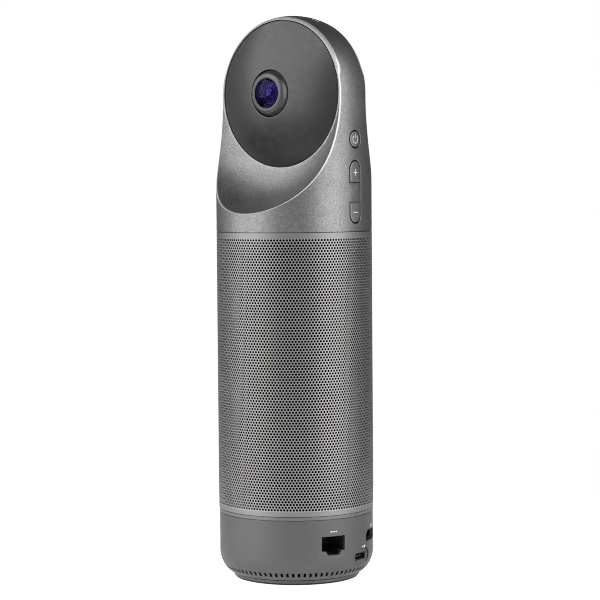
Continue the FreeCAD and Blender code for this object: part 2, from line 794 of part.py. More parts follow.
def build_speaker():
    """A closed speaker box and its driver, which faces the front: heights run along its axis."""
    height, face = D["speaker_height"], D["speaker_face"]
    half, tall, back, skin = 22.5, 25, -2.0, 2.0
    block = box("speaker_block", (-half, -face, height - tall), (half, -back, height + tall))
    hollow = box(
        "speaker_hollow",
        (-half + skin, -face + skin, height - tall + skin),
        (half - skin, -(as_dim(back) + skin), height + tall - skin),
    )
    mouth = cylinder("speaker_mouth", D["surround_outer"], skin + 2, (0, -face + skin + 1, height),
                     FORWARD)
    keep(cut("speaker_box", block, hollow, mouth))

    flange_high, ledge, rim = 1.6, 0.5, D["surround_outer"]
    cup, throat, frame = 9.0, 10.0, 0.8
    # the driver's own heights start at its back, 16 mm behind the face of the box
    zero = 16.0
    driver_at = (0, -(face - zero), height)
    keep(
        turned(
            "speaker_basket",
            [
                (throat, zero - cup),
                (throat + frame, zero - cup),
                (rim - 0.05, zero - 2.2),
                (rim - 0.05, zero),
                (D["speaker_flange"], zero),
                (D["speaker_flange"], zero + flange_high),
                (rim, zero + flange_high),
                (rim, zero + ledge),
                (rim - frame, zero + ledge),
                (rim - frame, zero - 2),
            ],
            driver_at,
            FORWARD,
        )
    )
    coil_inner, coil_outer, gap = 4.7, 5.0, 0.35
    keep(
        turned(
            "speaker_magnet",
            [
                (0, zero - cup - 6),
                (12, zero - cup - 6),
                (12, zero - cup),
                (coil_outer + gap, zero - cup),
                (coil_outer + gap, zero - cup - 4),
                (coil_inner - gap, zero - cup - 4),
                (coil_inner - gap, zero - cup),
                (0, zero - cup),
            ],
            driver_at,
            FORWARD,
        )
    )
    keep(ring("voice_coil", coil_inner, coil_outer, zero - cup - 2.6, zero - 6, driver_at, FORWARD))
    edge, paper = D["speaker_cone_radius"], 0.45
    keep(
        turned(
            "speaker_cone",
            [
                (coil_outer, zero - 7),
                (coil_outer + paper, zero - 7),
                (edge - 0.8, zero + ledge),
                (edge, zero + ledge),
                (edge, zero + ledge + paper),
                (edge - 1, zero + ledge + paper),
                (coil_outer, zero - 6.2),
            ],
            driver_at,
            FORWARD,
        )
    )
    crown, under = 1.2, 1.3
    keep(
        turned(
            "dust_cap",
            [
                (0, zero - 6 + under),
                Bend(coil_outer, zero - 6, cap_radius(coil_outer, under), -1),
                (coil_outer, zero - 5.4),
                Bend(0, zero - 5.4 + crown, cap_radius(coil_outer, crown), 1),
            ],
            driver_at,
            FORWARD,
        )
    )
    inner, rubber = D["surround_inner"], 0.4
    roll = (rim - inner) * 0.55
    keep(
        turned(
            "cone_surround",
            [
                Bend(inner, zero + ledge, roll, 1),
                (inner + rubber, zero + ledge),
                Bend(rim - rubber, zero + ledge, roll - rubber, -1),
                (rim, zero + ledge),
            ],
            driver_at,
            FORWARD,
        )
    )


# ---------------------------------------------------------------- main electronics


def build_main_board():
    front, half = 4.5, 24.5
    back = D["board"] + front
    low, high = 50, 160
    keep(box("main_board", (-half, front, low), (half, back, high)))
    shield_back = back + 2.5
    keep(box("processor_shield", (-15, back, 95), (15, shield_back, 125)))
    pad_back = shield_back + 1
    keep(box("thermal_pad", (-12, shield_back, 98), (12, pad_back, 122)))
    plate_back = pad_back + 2.5
    fin, fins, reach = 1.0, 9, 26
    shapes = [box("sink_plate", (-20, pad_back, 85), (20, plate_back, 140))]
    for index in range(fins):
        x = -20 + (40 - fin) / (fins - 1) * index
        shapes.append(box("sink_fin_%d" % index, (x, plate_back - 0.5, 85), (x + fin, reach, 140)))
    keep(fuse("heat_sink", *shapes))

    rails = []
    inner, outer, slack = 23.2, 27.2, 0.1
    for name, side in (("rail_left", -1), ("rail_right", 1)):
        near, far = sorted((inner * side, outer * side))
        post = box(name + "_post", (near, 2.6, D["deck_top"]), (far, 8.0, 162))
        near, far = sorted(((inner - 1) * side, (half + slack) * side))
        slot = box(name + "_slot", (near, front, D["deck_top"] - 1), (far, back, 163))
        rails.append(cut(name, post, slot))
    keep(group("chassis_rails", rails))


# ---------------------------------------------------------------- head


def bullet(name, radius, low):
    """A round pillar with a spherical crown about the lens height."""
    return turned(
        name,
        [(0, low), (radius, low), (radius, D["lens_height"]),
         Bend(0, D["lens_height"] + radius, radius, 1)],
    )


def scoop(name, rotation, offset):
    """What is cut away in front of a lens plate: its recess and the scoop under it."""
    floor = D["seat_height"] - offset
    rim = D["rim_height"] - offset
    out = D["scoop_centre_out"]
    arc = hypotenuse(D["rim_radius"] - D["scoop_centre_up"], out - D["rim_height"]) + offset
    far = D["scoop_centre_up"] + arc
    chamfer = D["recess_chamfer"]
    if offset.value:
        # the inner tool follows the outer one at the wall's distance, round the recess as well
        corner = D["recess_radius"] + offset
        across = corner - D["scoop_centre_up"]
        drop = arc * arc - across * across
        height = Dim(
            out.value - math.sqrt(drop.value), "(%s - sqrt(%s))" % (out.formula, drop.formula)
        )
        path = [(0, floor), (corner, floor), (corner, height)]
    else:
        path = [
            (0, floor),
            (D["recess_radius"], floor),
            (D["recess_radius"], rim - chamfer),
            (D["recess_radius"] + chamfer, rim),
            (D["rim_radius"], rim),
        ]
    path += [Bend(far, out, arc, 1), (0, out)]
    return turned(name, path, (0, 0, D["lens_height"]), rotation)


def key_hole(name, low, high, rounded, half, near, far):
    """A key outline along +X: a block whose one end is round."""
    middle = high - half if rounded == "top" else low + half
    ends = (low, middle) if rounded == "top" else (middle, high)
    block = box(name + "_block", (near, -half, ends[0]), (far, half, ends[1]))
    end = cylinder(name + "_end", half, as_dim(far) - near, (near, 0, middle), SIDEWAYS)
    return fuse(name, block, end)


def build_head_housing():
    zero = as_dim(0)
    outer = bullet("head_outer", D["body_radius"], D["head_bottom"])
    inner = bullet("head_inner", D["body_radius"] - D["wall"], D["head_bottom"] - 1)
    cavity = cut(
        "head_cavity",
        inner,
        scoop("inner_scoop_front", FORWARD, D["wall"]),
        scoop("inner_scoop_rear", BACKWARD, D["wall"]),
    )
    openings = cylinder(
        "camera_openings",
        D["camera_opening"],
        D["seat_height"] * 2 + 2,
        (0, D["seat_height"] + 1, D["lens_height"]),
        FORWARD,
    )
    near, far = D["body_radius"] - 4.5, D["body_radius"] + 2
    half = D["key_width"] / 2
    bridge_block = box(
        "bridge_block", (36, -half, D["minus_top"] - 1), (far, half, D["plus_bottom"] + 1)
    )
    bridge = cut(
        "bridge_recess",
        bridge_block,
        cylinder("bridge_face", D["key_bridge"], 30, (0, 0, D["minus_top"] - 10)),
    )
    scooped = cut(
        "head_scooped",
        outer,
        scoop("scoop_front", FORWARD, zero),
        scoop("scoop_rear", BACKWARD, zero),
    )
    shell = cut("head_shell", scooped, cavity)
    tools = [
        openings,
        cylinder("power_hole", half, far - near, (near, 0, D["power_height"]), SIDEWAYS),
        key_hole("plus_hole", D["plus_bottom"], D["pill_top"], "top", half, near, far),
        key_hole("minus_hole", D["pill_bottom"], D["minus_top"], "bottom", half, near, far),
        bridge,
        light_block("light_hole", 0.1),
    ]
    for index, (x, z) in enumerate(head_screw_places()):
        at = (x, D["seat_height"] + 1, D["lens_height"] + z)
        through = D["seat_height"] * 2 + 2
        tools.append(cylinder("web_hole_%d" % index, HEAD_SCREW["shank"], through, at, FORWARD))
    keep(cut("head_housing", shell, *tools))


HEAD_SCREW = {"head": 2.4, "shank": 1.3, "head_height": 1.2, "tip": 1.5, "circle": 28.0}
LIGHT_TILT = 22.0
LIGHT_LENGTH = 5.2
LIGHT_WIDTH = 1.7


def light_block(name, slack):
    """A block through the crown, on the key side of the top, for the status light."""
    tilt = Rotation(Vector(0, 1, 0), LIGHT_TILT)
    length, width = LIGHT_LENGTH + 2 * slack, LIGHT_WIDTH + 2 * slack
    low = D["body_radius"] - D["wall"] - 0.8
    at = (
        low * sine(LIGHT_TILT) - cosine(LIGHT_TILT) * (length / 2),
        as_dim(-width / 2),
        D["lens_height"] + low * cosine(LIGHT_TILT) + sine(LIGHT_TILT) * (length / 2),
    )
    return new("Part::Box", name, {"Length": length, "Width": width, "Height": 5}, at, tilt)


def build_status_light():
    crown = new("Part::Sphere", "light_crown", {"Radius": D["body_radius"]},
                (0, 0, D["lens_height"]))
    keep(common("status_light", light_block("light_bar", 0), crown))


def head_screw_places():
    reach = HEAD_SCREW["circle"] / math.sqrt(2)
    return [(reach * x, reach * z) for x, z in ((1, 1), (-1, 1), (-1, -1), (1, -1))]


def build_lens_plate(side, rotation):
    """A shallow dome that fills the recess, with the bezel's hole in its middle."""
    wall, hole, edge = D["plate_wall"], D["plate_hole"], D["plate_radius"]
    skirt = edge - wall
    keep(
        turned(
            side + "_lens_plate",
            [
                (skirt, D["seat_height"]),
                (edge, D["seat_height"]),
                (edge, D["plate_edge"]),
                Bend(hole, D["plate_crown"], D["plate_bulge"], 1),
                (hole, D["plate_crown"] - wall),
                Bend(skirt, D["plate_edge"] - wall + 0.55, D["plate_bulge"], -1),
            ],
            (0, 0, D["lens_height"]),
            rotation,
        )
    )


def build_lens(side, rotation):
    at = (0, 0, D["lens_height"])
    barrel, flange = D["barrel_radius"], D["barrel_flange"]
    board_top, chip = 2.0, 1.0
    bezel_low, top = 15.0, D["bezel_top"]
    slack = 0.05
    keep(
        turned(
            side + "_lens_bezel",
            [
                (barrel + slack, bezel_low),
                (D["bezel_radius"], bezel_low),
                (D["bezel_radius"], D["plate_crown"] - 0.5),
                (D["bezel_lip"], top - 0.35),
                (D["bezel_lip"] - 0.35, top),
                (barrel + slack, top),
            ],
            at,
            rotation,
        )
    )
    throat = D["inner_lens_radius"] + slack
    keep(
        turned(
            side + "_lens_barrel",
            [
                (6.0, board_top),
                (flange, board_top),
                (flange, board_top + 2.5),
                (barrel, board_top + 2.5),
                (barrel, D["glass_edge"] - 0.1),
                (D["glass_radius"] + slack, D["glass_edge"] - 0.1),
                (D["glass_radius"] + slack, D["glass_seat"]),
                (throat, D["glass_seat"]),
                (throat, 9.5),
                (4.4, 9.5),
                (4.4, 8.5),
                (6.0, 8.5),
            ],
            at,
            rotation,
        )
    )
    hollow_edge, hollow_rise = 5.0, 2.8
    keep(
        turned(
            side + "_dome_lens",
            [
                (0, D["glass_seat"] + hollow_rise),
                Bend(hollow_edge, D["glass_seat"], cap_radius(hollow_edge, hollow_rise), -1),
                (D["glass_radius"], D["glass_seat"]),
                (D["glass_radius"], D["glass_edge"]),
                Bend(
                    0,
                    D["glass_apex"],
                    cap_radius(D["glass_radius"], D["glass_apex"] - D["glass_edge"]),
                    1,
                ),
            ],
            at,
            rotation,
        )
    )
    lens_low, lens_edge, lens_rise = 9.5, 11.5, 1.5
    keep(
        turned(
            side + "_inner_lens",
            [
                (0, lens_low),
                (D["inner_lens_radius"], lens_low),
                (D["inner_lens_radius"], lens_edge),
                Bend(0, lens_edge + lens_rise, cap_radius(D["inner_lens_radius"], lens_rise), 1),
            ],
            at,
            rotation,
        )
    )
    sign = -1 if side == "front" else 1
    near, far = sorted((0.8 * sign, board_top * sign))
    keep(
        box(
            side + "_sensor_board",
            (-13, near, D["lens_height"] - 13),
            (13, far, D["lens_height"] + 13),
        )
    )
    near, far = sorted((board_top * sign, (board_top + chip) * sign))
    return box(
        side + "_sensor", (-4.5, near, D["lens_height"] - 3.5), (4.5, far, D["lens_height"] + 3.5)
    )


def build_cameras():
    sensors = []
    for side, rotation in (("front", FORWARD), ("rear", BACKWARD)):
        build_lens_plate(side, rotation)
        sensors.append(build_lens(side, rotation))
    keep(group("image_sensors", sensors))

    half, web = 0.8, D["seat_height"] - D["wall"]
    plate_radius, post_radius = 32, 3
    plate = cylinder("bracket_plate", plate_radius, half * 2, (0, half, D["lens_height"]), FORWARD)
    posts, threads, screws = [], [], []
    for index, (x, z) in enumerate(head_screw_places()):
        height = D["lens_height"] + z
        at = (x, web, height)
        posts.append(cylinder("bracket_post_%d" % index, post_radius, web * 2, at, FORWARD))
        threads.append(
            cylinder("bracket_thread_%d" % index, HEAD_SCREW["shank"], web * 2 + 2,
                     (x, web + 1, height), FORWARD)
        )
        for side, rotation, sign in (("front", FORWARD, -1), ("rear", BACKWARD, 1)):
            name = "head_screw_%s_%d" % (side, index)
            head_at = (x, D["seat_height"] * sign, height)
            tip = as_dim(HEAD_SCREW["tip"])
            shank_at = (x, tip * sign, height)
            head = cylinder(name + "_head", HEAD_SCREW["head"], HEAD_SCREW["head_height"], head_at,
                            rotation)
            shank = cylinder(name + "_shank", HEAD_SCREW["shank"], D["seat_height"] - tip, shank_at,
                             rotation)
            screws.append(fuse(name, head, shank))
    keep(cut("camera_bracket", fuse("bracket_blank", plate, *posts), *threads))
    keep(group("head_screws", screws))


# ---------------------------------------------------------------- keys


def finish_key(name, cap, flange_low, flange_high, middle):
    """A key: its cap trimmed to the face, the flange that keeps it in, and the pip behind."""
    face = cylinder(name + "_face", D["key_face"], 80, (0, 0, D["pill_bottom"] - 20))
    trimmed = common(name + "_cap", cap, face)
    wide = D["key_width"] / 2 + D["flange_lip"]
    back, front = D["key_back"], D["key_back"] + D["key_flange"]
    flange = box(name + "_flange", (back, -wide, flange_low), (front, wide, flange_high))
    tip = back - D["stem_length"]
    stem = cylinder(name + "_stem", 1.2, D["stem_length"] + 0.2, (tip, 0, middle), SIDEWAYS)
    keep(fuse(name, trimmed, flange, stem))


def build_keys():
    gap, lip = D["key_clearance"], D["flange_lip"] - 0.25
    half = D["key_width"] / 2 - gap
    near, far = D["key_back"] + D["key_flange"] - 0.2, D["body_radius"] + 2
    low, high = D["plus_bottom"] + gap, D["pill_top"] - gap
    cap = key_hole("plus_blank", low, high, "top", half, near, far)
    plus_middle = (low + high) / 2
    finish_key("volume_up_key", cap, low - lip, high + lip, plus_middle)
    low, high = D["pill_bottom"] + gap, D["minus_top"] - gap
    cap = key_hole("minus_blank", low, high, "bottom", half, near, far)
    minus_middle = (low + high) / 2
    finish_key("volume_down_key", cap, low - lip, high + lip, minus_middle)
    middle = D["power_height"]
    cap = cylinder("power_blank", half, far - near, (near, 0, middle), SIDEWAYS)
    finish_key("power_key", cap, middle - half - lip, middle + half + lip, middle)

    board_back, face = D["key_board_face"] - 1.2, D["key_board_face"]
    keep(box("key_board", (board_back, -5.5, 171), (face, 5.5, 218)))
    switches = []
    for name, height in (("plus", plus_middle), ("minus", minus_middle), ("power", middle)):
        body = box(name + "_switch_body", (face, -1.8, height - 1.8), (face + 0.5, 1.8, height + 1.8))
        plunger = cylinder(name + "_plunger", 0.9, D["switch_height"], (face, 0, height), SIDEWAYS)
        switches.append(fuse(name + "_switch", body, plunger))
    keep(group("key_switches", switches))


# ---------------------------------------------------------------- make, check, write

build_foot_and_cover()
build_base_shell()
build_trim_ring()
build_socket_boards()
build_lan_jack()
build_av_jack()
build_usb_jack()
build_middle_shells()
build_bulkheads()
build_microphones()
build_fan()
build_speaker()
build_main_board()
build_head_housing()
build_status_light()
build_cameras()
build_keys()
doc.recompute()

for obj in doc.Objects:
    bad = [state for state in obj.State if state in ("Invalid", "Error")]
    if bad:
        raise RuntimeError("%s is %s" % (obj.Name, ", ".join(bad)))
for obj in subparts:
    if obj.Shape.isNull() or not obj.Shape.isValid() or not obj.Shape.Solids:
        raise RuntimeError("%s has no valid solid" % obj.Label)

os.makedirs("parts", exist_ok=True)
for obj in subparts:
    obj.Shape.exportStep(os.path.join("parts", obj.Label + ".step"))
print(len(subparts), "sub-parts written")
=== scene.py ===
"""Looks of a pillar-form camera with two lenses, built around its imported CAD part.

Lengths are in metres.
"""

import json
import math

import bmesh
import bpy
import numpy as np
from mathutils import Matrix, Vector

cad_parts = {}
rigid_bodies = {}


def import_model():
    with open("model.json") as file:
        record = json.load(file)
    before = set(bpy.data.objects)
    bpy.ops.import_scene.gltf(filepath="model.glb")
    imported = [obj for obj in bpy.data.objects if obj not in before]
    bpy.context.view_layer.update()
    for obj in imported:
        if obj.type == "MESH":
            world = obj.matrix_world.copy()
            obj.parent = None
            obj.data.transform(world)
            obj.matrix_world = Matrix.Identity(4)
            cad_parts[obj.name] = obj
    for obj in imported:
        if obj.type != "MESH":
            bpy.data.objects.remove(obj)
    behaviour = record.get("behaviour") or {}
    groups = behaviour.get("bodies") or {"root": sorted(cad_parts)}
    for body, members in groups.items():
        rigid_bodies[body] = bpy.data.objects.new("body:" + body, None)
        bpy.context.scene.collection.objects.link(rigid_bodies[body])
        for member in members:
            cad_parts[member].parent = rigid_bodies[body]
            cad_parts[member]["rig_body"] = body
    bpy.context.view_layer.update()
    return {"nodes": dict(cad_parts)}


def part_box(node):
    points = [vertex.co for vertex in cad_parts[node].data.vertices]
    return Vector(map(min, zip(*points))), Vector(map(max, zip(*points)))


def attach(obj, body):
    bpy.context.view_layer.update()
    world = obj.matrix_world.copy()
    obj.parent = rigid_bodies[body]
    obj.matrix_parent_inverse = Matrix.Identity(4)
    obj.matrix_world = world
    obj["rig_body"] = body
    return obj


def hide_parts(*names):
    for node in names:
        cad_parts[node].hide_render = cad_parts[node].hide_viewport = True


for leftover in list(bpy.data.objects):
    bpy.data.objects.remove(leftover)

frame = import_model()
nodes = frame["nodes"]

MM = 0.001
HOUSING = "housing"
SIDES = ((-1, "front"), (1, "rear"))
PLATE_STEPS, LENS_STEPS = 144, 96  # faces round the lens axis
# Mesh attribute for the painted highlight along the head's edges, partly real cut metal on the
# chamfers
CUT_EDGE_AND_HIGHLIGHT = "cut_edge_and_highlight"
PRINT = "print"
INNER_GLASS = "inner_glass"
LENS_RINGS = "lens_rings"
# Near-black metal for the socket shells: painted shade inside the socket openings
SHADED_SOCKET_METAL = "shaded_socket_metal"


# ---------------------------------------------------------------- materials


NOISE_LOW, NOISE_HIGH = 0.3, 0.7


class Surface:
    """One material on a Principled shader, with short calls for the nodes that its detail needs."""

    def __init__(self, name, colour, roughness, metallic=0.0):
        self.name = name
        self.material = bpy.data.materials.new(name)
        self.material.use_nodes = True
        self.tree = self.material.node_tree
        self.shader = self.tree.nodes["Principled BSDF"]
        self.colour = tuple(colour)
        self.roughness = roughness
        self.set("Base Color", (*colour, 1.0))
        self.set("Roughness", roughness)
        self.set("Metallic", metallic)
        self.place = self.tree.nodes.new("ShaderNodeTexCoord").outputs["Object"]
        self.relief = None

    def set(self, socket, value):
        self.shader.inputs[socket].default_value = value

    def link(self, source, target):
        self.tree.links.new(source, target)

    def stretched(self, scale):
        """Object coordinates, stretched along the axes by scale."""
        mapping = self.tree.nodes.new("ShaderNodeMapping")
        mapping.inputs["Scale"].default_value = scale
        self.link(self.place, mapping.inputs["Vector"])
        return mapping.outputs["Vector"]

    def noise(self, grain, detail=2.0, roughness=0.5, stretch=None):
        """Noise with grains of that size, mostly between NOISE_LOW and NOISE_HIGH."""
        node = self.tree.nodes.new("ShaderNodeTexNoise")
        node.inputs["Scale"].default_value = 1.0 / grain
        node.inputs["Detail"].default_value = detail
        node.inputs["Roughness"].default_value = roughness
        source = self.stretched(stretch) if stretch else self.place
        self.link(source, node.inputs["Vector"])
        return node.outputs["Fac"]

    def spread(self, factor, low, high, from_low=NOISE_LOW, from_high=NOISE_HIGH):
        """factor mapped from the range of noise, or another range, to low … high."""
        node = self.tree.nodes.new("ShaderNodeMapRange")
        node.inputs["From Min"].default_value = from_low
        node.inputs["From Max"].default_value = from_high
        node.inputs["To Min"].default_value = low
        node.inputs["To Max"].default_value = high
        self.link(factor, node.inputs["Value"])
        return node.outputs["Result"]

    def maths(self, a, b, operation="MULTIPLY"):
        node = self.tree.nodes.new("ShaderNodeMath")
        node.operation = operation
        self.link(a, node.inputs[0])
        self.link(b, node.inputs[1])
        return node.outputs["Value"]

    def vary_colour(self, factor, darker, lighter):
        """The colour runs from darker to lighter times itself as the noise rises."""
        mix = self.tree.nodes.new("ShaderNodeMix")
        mix.data_type = "RGBA"
        mix.inputs["A"].default_value = (*(c * darker for c in self.colour), 1.0)
        mix.inputs["B"].default_value = (*(min(1.0, c * lighter) for c in self.colour), 1.0)
        self.link(self.spread(factor, 0.0, 1.0), mix.inputs["Factor"])
        self.link(mix.outputs["Result"], self.shader.inputs["Base Color"])

    def vary_roughness(self, factor, swing):
        low, high = self.roughness - swing, self.roughness + swing
        self.link(self.spread(factor, low, high), self.shader.inputs["Roughness"])

    def lay_over(self, socket, factor, value):
        """A fixed value over whatever feeds a socket of the shader, as strongly as factor says."""
        target = self.shader.inputs[socket]
        mix = self.tree.nodes.new("ShaderNodeMix")
        mix.data_type = "RGBA" if target.type == "RGBA" else "FLOAT"
        self.link(target.links[0].from_socket, mix.inputs["A"])
        mix.inputs["B"].default_value = value
        self.link(factor, mix.inputs["Factor"])
        self.link(mix.outputs["Result"], target)

    def bump(self, height, depth):
        """Relief of that depth, on top of any relief added before."""
        node = self.tree.nodes.new("ShaderNodeBump")
        node.inputs["Distance"].default_value = depth
        node.inputs["Strength"].default_value = 1.0
        self.link(height, node.inputs["Height"])
        if self.relief is not None:
            self.link(self.relief, node.inputs["Normal"])
        self.relief = node.outputs["Normal"]
        self.link(self.relief, self.shader.inputs["Normal"])


def metallic_paint(name, colour, roughness, metallic, fleck=0.7 * MM, contrast=0.24):
    """Metallic paint: light and dark flecks, a slight orange peel and uneven gloss."""
    s = Surface(name, colour, roughness, metallic)
    flecks = s.noise(fleck, detail=4.0, roughness=0.75)
    s.vary_colour(flecks, 1 - contrast, 1 + contrast)
    s.vary_roughness(s.noise(9 * MM, detail=4.0), 0.04)
    s.bump(flecks, 0.012 * MM)
    s.bump(s.noise(2.4 * MM), 0.008 * MM)
    return s


def with_darker_hems(paint, low, high, share=0.66, fade=0.4 * MM):
    """The paint, darker below one height and above another."""
    split = paint.tree.nodes.new("ShaderNodeSeparateXYZ")
    paint.link(paint.place, split.inputs["Vector"])
    height = split.outputs["Z"]
    above = paint.spread(height, 0.0, 1.0, high, high + fade)
    below = paint.spread(height, 1.0, 0.0, low - fade, low)
    hems = paint.maths(above, below, "MAXIMUM")
    paint.lay_over("Base Color", hems, (*(c * share for c in paint.colour), 1.0))
    return paint


def with_painted_edge_highlight(paint, colour=(0.56, 0.56, 0.57), roughness=0.36, metallic=(0.85, 0.45)):
    """The paint with a painted highlight: a lighter, less metallic band as far as the mesh's own
    edge attribute says, partly real cut metal on the chamfers.

    metallic holds the paint's own value and the one that the cut edge tends to.
    """
    edge = paint.tree.nodes.new("ShaderNodeAttribute")
    edge.attribute_name = CUT_EDGE_AND_HIGHLIGHT
    edge_highlight = edge.outputs["Fac"]
    # Painted highlight: a lighter colour along the edges, over what is partly a real cut metal
    # chamfer
    paint.lay_over("Base Color", edge_highlight, (*colour, 1.0))
    paint.lay_over("Roughness", edge_highlight, roughness)
    paint.link(paint.spread(edge_highlight, *metallic, 0.0, 1.0), paint.shader.inputs["Metallic"])
    return paint


def moulded_plastic(name, colour, roughness, grain=0.25 * MM, relief=0.012 * MM):
    """Moulded plastic with a spark-eroded texture and slightly uneven gloss."""
    s = Surface(name, colour, roughness)
    s.vary_colour(s.noise(6 * MM, detail=5.0), 0.88, 1.12)
    s.vary_roughness(s.noise(3 * MM, detail=3.0), 0.06)
    s.bump(s.noise(grain, detail=3.0), relief)
    return s


def worked_metal(name, colour, roughness, stretch=(1.0, 1.0, 12.0)):
    """Bare metal with a grain drawn along one axis, and dull patches."""
    s = Surface(name, colour, roughness, metallic=1.0)
    streaks = s.noise(1.1 * MM, detail=4.0, stretch=stretch)
    s.vary_colour(streaks, 0.84, 1.1)
    s.vary_roughness(s.noise(5 * MM, detail=4.0), 0.09)
    s.bump(streaks, 0.006 * MM)
    return s


def rubber(name, colour):
    """Dull rubber with a fine, uneven skin."""
    s = Surface(name, colour, 0.75)
    s.vary_colour(s.noise(3 * MM, detail=5.0), 0.8, 1.3)
    s.bump(s.noise(0.4 * MM, detail=4.0), 0.03 * MM)
    s.set("Specular IOR Level", 0.35)
    return s


def woven_cloth(name, colour):
    """Acoustic cloth: two crossing sets of fine threads."""
    s = Surface(name, colour, 0.9)
    threads = []
    for direction in ("DIAGONAL", "Z"):
        wave = s.tree.nodes.new("ShaderNodeTexWave")
        wave.bands_direction = direction
        wave.inputs["Scale"].default_value = 0.35 / MM
        s.link(s.place, wave.inputs["Vector"])
        threads.append(wave.outputs["Fac"])
    weave = s.maths(*threads)
    s.vary_colour(weave, 0.5, 1.6)
    s.bump(weave, 0.05 * MM)
    s.set("Specular IOR Level", 0.05)
    return s


def circuit_board(name, colour):
    """Solder mask over copper tracks, which show through as a grid of lighter ribs."""
    s = Surface(name, colour, 0.35)
    tracks = s.tree.nodes.new("ShaderNodeTexBrick")
    tracks.inputs["Scale"].default_value = 0.16 / MM
    tracks.inputs["Mortar Size"].default_value = 0.05
    tracks.inputs["Color1"].default_value = (*colour, 1.0)
    tracks.inputs["Color2"].default_value = (*(c * 1.25 for c in colour), 1.0)
    tracks.inputs["Mortar"].default_value = (*(c * 2.6 + 0.01 for c in colour), 1.0)
    s.link(s.place, tracks.inputs["Vector"])
    s.link(tracks.outputs["Color"], s.shader.inputs["Base Color"])
    s.bump(tracks.outputs["Fac"], 0.03 * MM)
    s.vary_roughness(s.noise(2 * MM, detail=3.0), 0.08)
    return s


def glowing(name, colour, power):
    """A lit window, slightly uneven."""
    s = Surface(name, colour, 0.4)
    s.vary_colour(s.noise(0.5 * MM), 0.9, 1.1)
    s.set("Emission Color", (*colour, 1.0))
    s.set("Emission Strength", power)
    return s


def coated_glass(name, tint, coat, index):
    """Coated glass: a tint over what is behind it, and coloured reflections on its front faces."""
    material = bpy.data.materials.new(name)
    material.use_nodes = True
    tree = material.node_tree
    link = tree.links.new
    tree.nodes.remove(tree.nodes["Principled BSDF"])

    smudge = tree.nodes.new("ShaderNodeTexNoise")
    smudge.inputs["Scale"].default_value = 0.4 / MM
    link(tree.nodes.new("ShaderNodeTexCoord").outputs["Object"], smudge.inputs["Vector"])
    relief = tree.nodes.new("ShaderNodeBump")
    relief.inputs["Distance"].default_value = 0.0004 * MM
    link(smudge.outputs["Fac"], relief.inputs["Height"])

    clear = tree.nodes.new("ShaderNodeBsdfTransparent")
    clear.inputs["Color"].default_value = (*tint, 1.0)
    gloss = tree.nodes.new("ShaderNodeBsdfGlossy")
    gloss.inputs["Color"].default_value = (*coat, 1.0)
    gloss.inputs["Roughness"].default_value = 0.10
    link(relief.outputs["Normal"], gloss.inputs["Normal"])

    mirrored = tree.nodes.new("ShaderNodeFresnel")
    mirrored.inputs["IOR"].default_value = index
    front_only = tree.nodes.new("ShaderNodeMath")
    front_only.operation = "SUBTRACT"
    front_only.use_clamp = True
    link(mirrored.outputs["Fac"], front_only.inputs[0])
    link(tree.nodes.new("ShaderNodeNewGeometry").outputs["Backfacing"], front_only.inputs[1])

    mix = tree.nodes.new("ShaderNodeMixShader")
    link(front_only.outputs["Value"], mix.inputs["Fac"])
    link(clear.outputs["BSDF"], mix.inputs[1])
    link(gloss.outputs["BSDF"], mix.inputs[2])
    link(mix.outputs["Shader"], tree.nodes["Material Output"].inputs["Surface"])
    return material


HEM_LOW, HEM_HIGH = 36.7 * MM, 166.2 * MM
FINISHES = {surface.name: surface.material for surface in (
    with_painted_edge_highlight(metallic_paint(
        "head_shell", (0.150, 0.150, 0.152), 0.42, 0.85, fleck=0.9 * MM, contrast=0.36)),
    with_darker_hems(metallic_paint(
        "grille", (0.26, 0.26, 0.262), 0.46, 0.85, contrast=0.12), HEM_LOW, HEM_HIGH),
    metallic_paint("base", (0.081, 0.081, 0.083), 0.52, 0.68, contrast=0.12),
    metallic_paint("trim", (0.11, 0.11, 0.113), 0.45, 0.6),
    metallic_paint("bezel", (0.066, 0.064, 0.067), 0.40, 0.75, fleck=0.3 * MM, contrast=0.1),
    metallic_paint("key_cap", (0.15, 0.15, 0.152), 0.42, 0.8),
    moulded_plastic("lens_plate", (0.005, 0.005, 0.0052), 0.35, 0.8 * MM, 0.001 * MM),
    moulded_plastic(LENS_RINGS, (0.014, 0.007, 0.055), 0.25, 0.8 * MM, 0.0005 * MM),
    moulded_plastic("black_plastic", (0.012, 0.012, 0.013), 0.38),
    moulded_plastic("grey_plastic", (0.08, 0.08, 0.082), 0.5),
    moulded_plastic("cone_paper", (0.035, 0.035, 0.036), 0.7, 0.6 * MM),
    moulded_plastic(PRINT, (0.46, 0.46, 0.46), 0.5, 0.1 * MM),
    rubber("rubber", (0.015, 0.015, 0.015)),
    woven_cloth("cloth", (0.008, 0.008, 0.008)),
    circuit_board("circuit_board", (0.008, 0.030, 0.016)),
    worked_metal("steel", (0.48, 0.48, 0.49), 0.30),
    worked_metal("brass", (0.62, 0.45, 0.20), 0.28),
    worked_metal("copper", (0.70, 0.42, 0.20), 0.25, (12.0, 1.0, 1.0)),
    worked_metal("bare_aluminium", (0.62, 0.62, 0.63), 0.35),
    worked_metal(SHADED_SOCKET_METAL, (0.035, 0.035, 0.037), 0.40),
    worked_metal("magnet", (0.10, 0.10, 0.11), 0.45),
    worked_metal("silicon", (0.12, 0.10, 0.22), 0.12),
    glowing("light", (0.85, 0.88, 0.9), 0.7),
)}
FINISHES["lens_glass"] = coated_glass(
    "lens_glass", tint=(0.56, 0.52, 0.82), coat=(0.17, 0.16, 0.42), index=1.5)
FINISHES[INNER_GLASS] = coated_glass(
    INNER_GLASS, tint=(0.25, 0.22, 0.70), coat=(0.62, 0.72, 0.98), index=2.0)

for piece in nodes.values():
    for i, slot_material in enumerate(piece.data.materials):
        piece.data.materials[i] = FINISHES[slot_material.name.split(".")[0]]
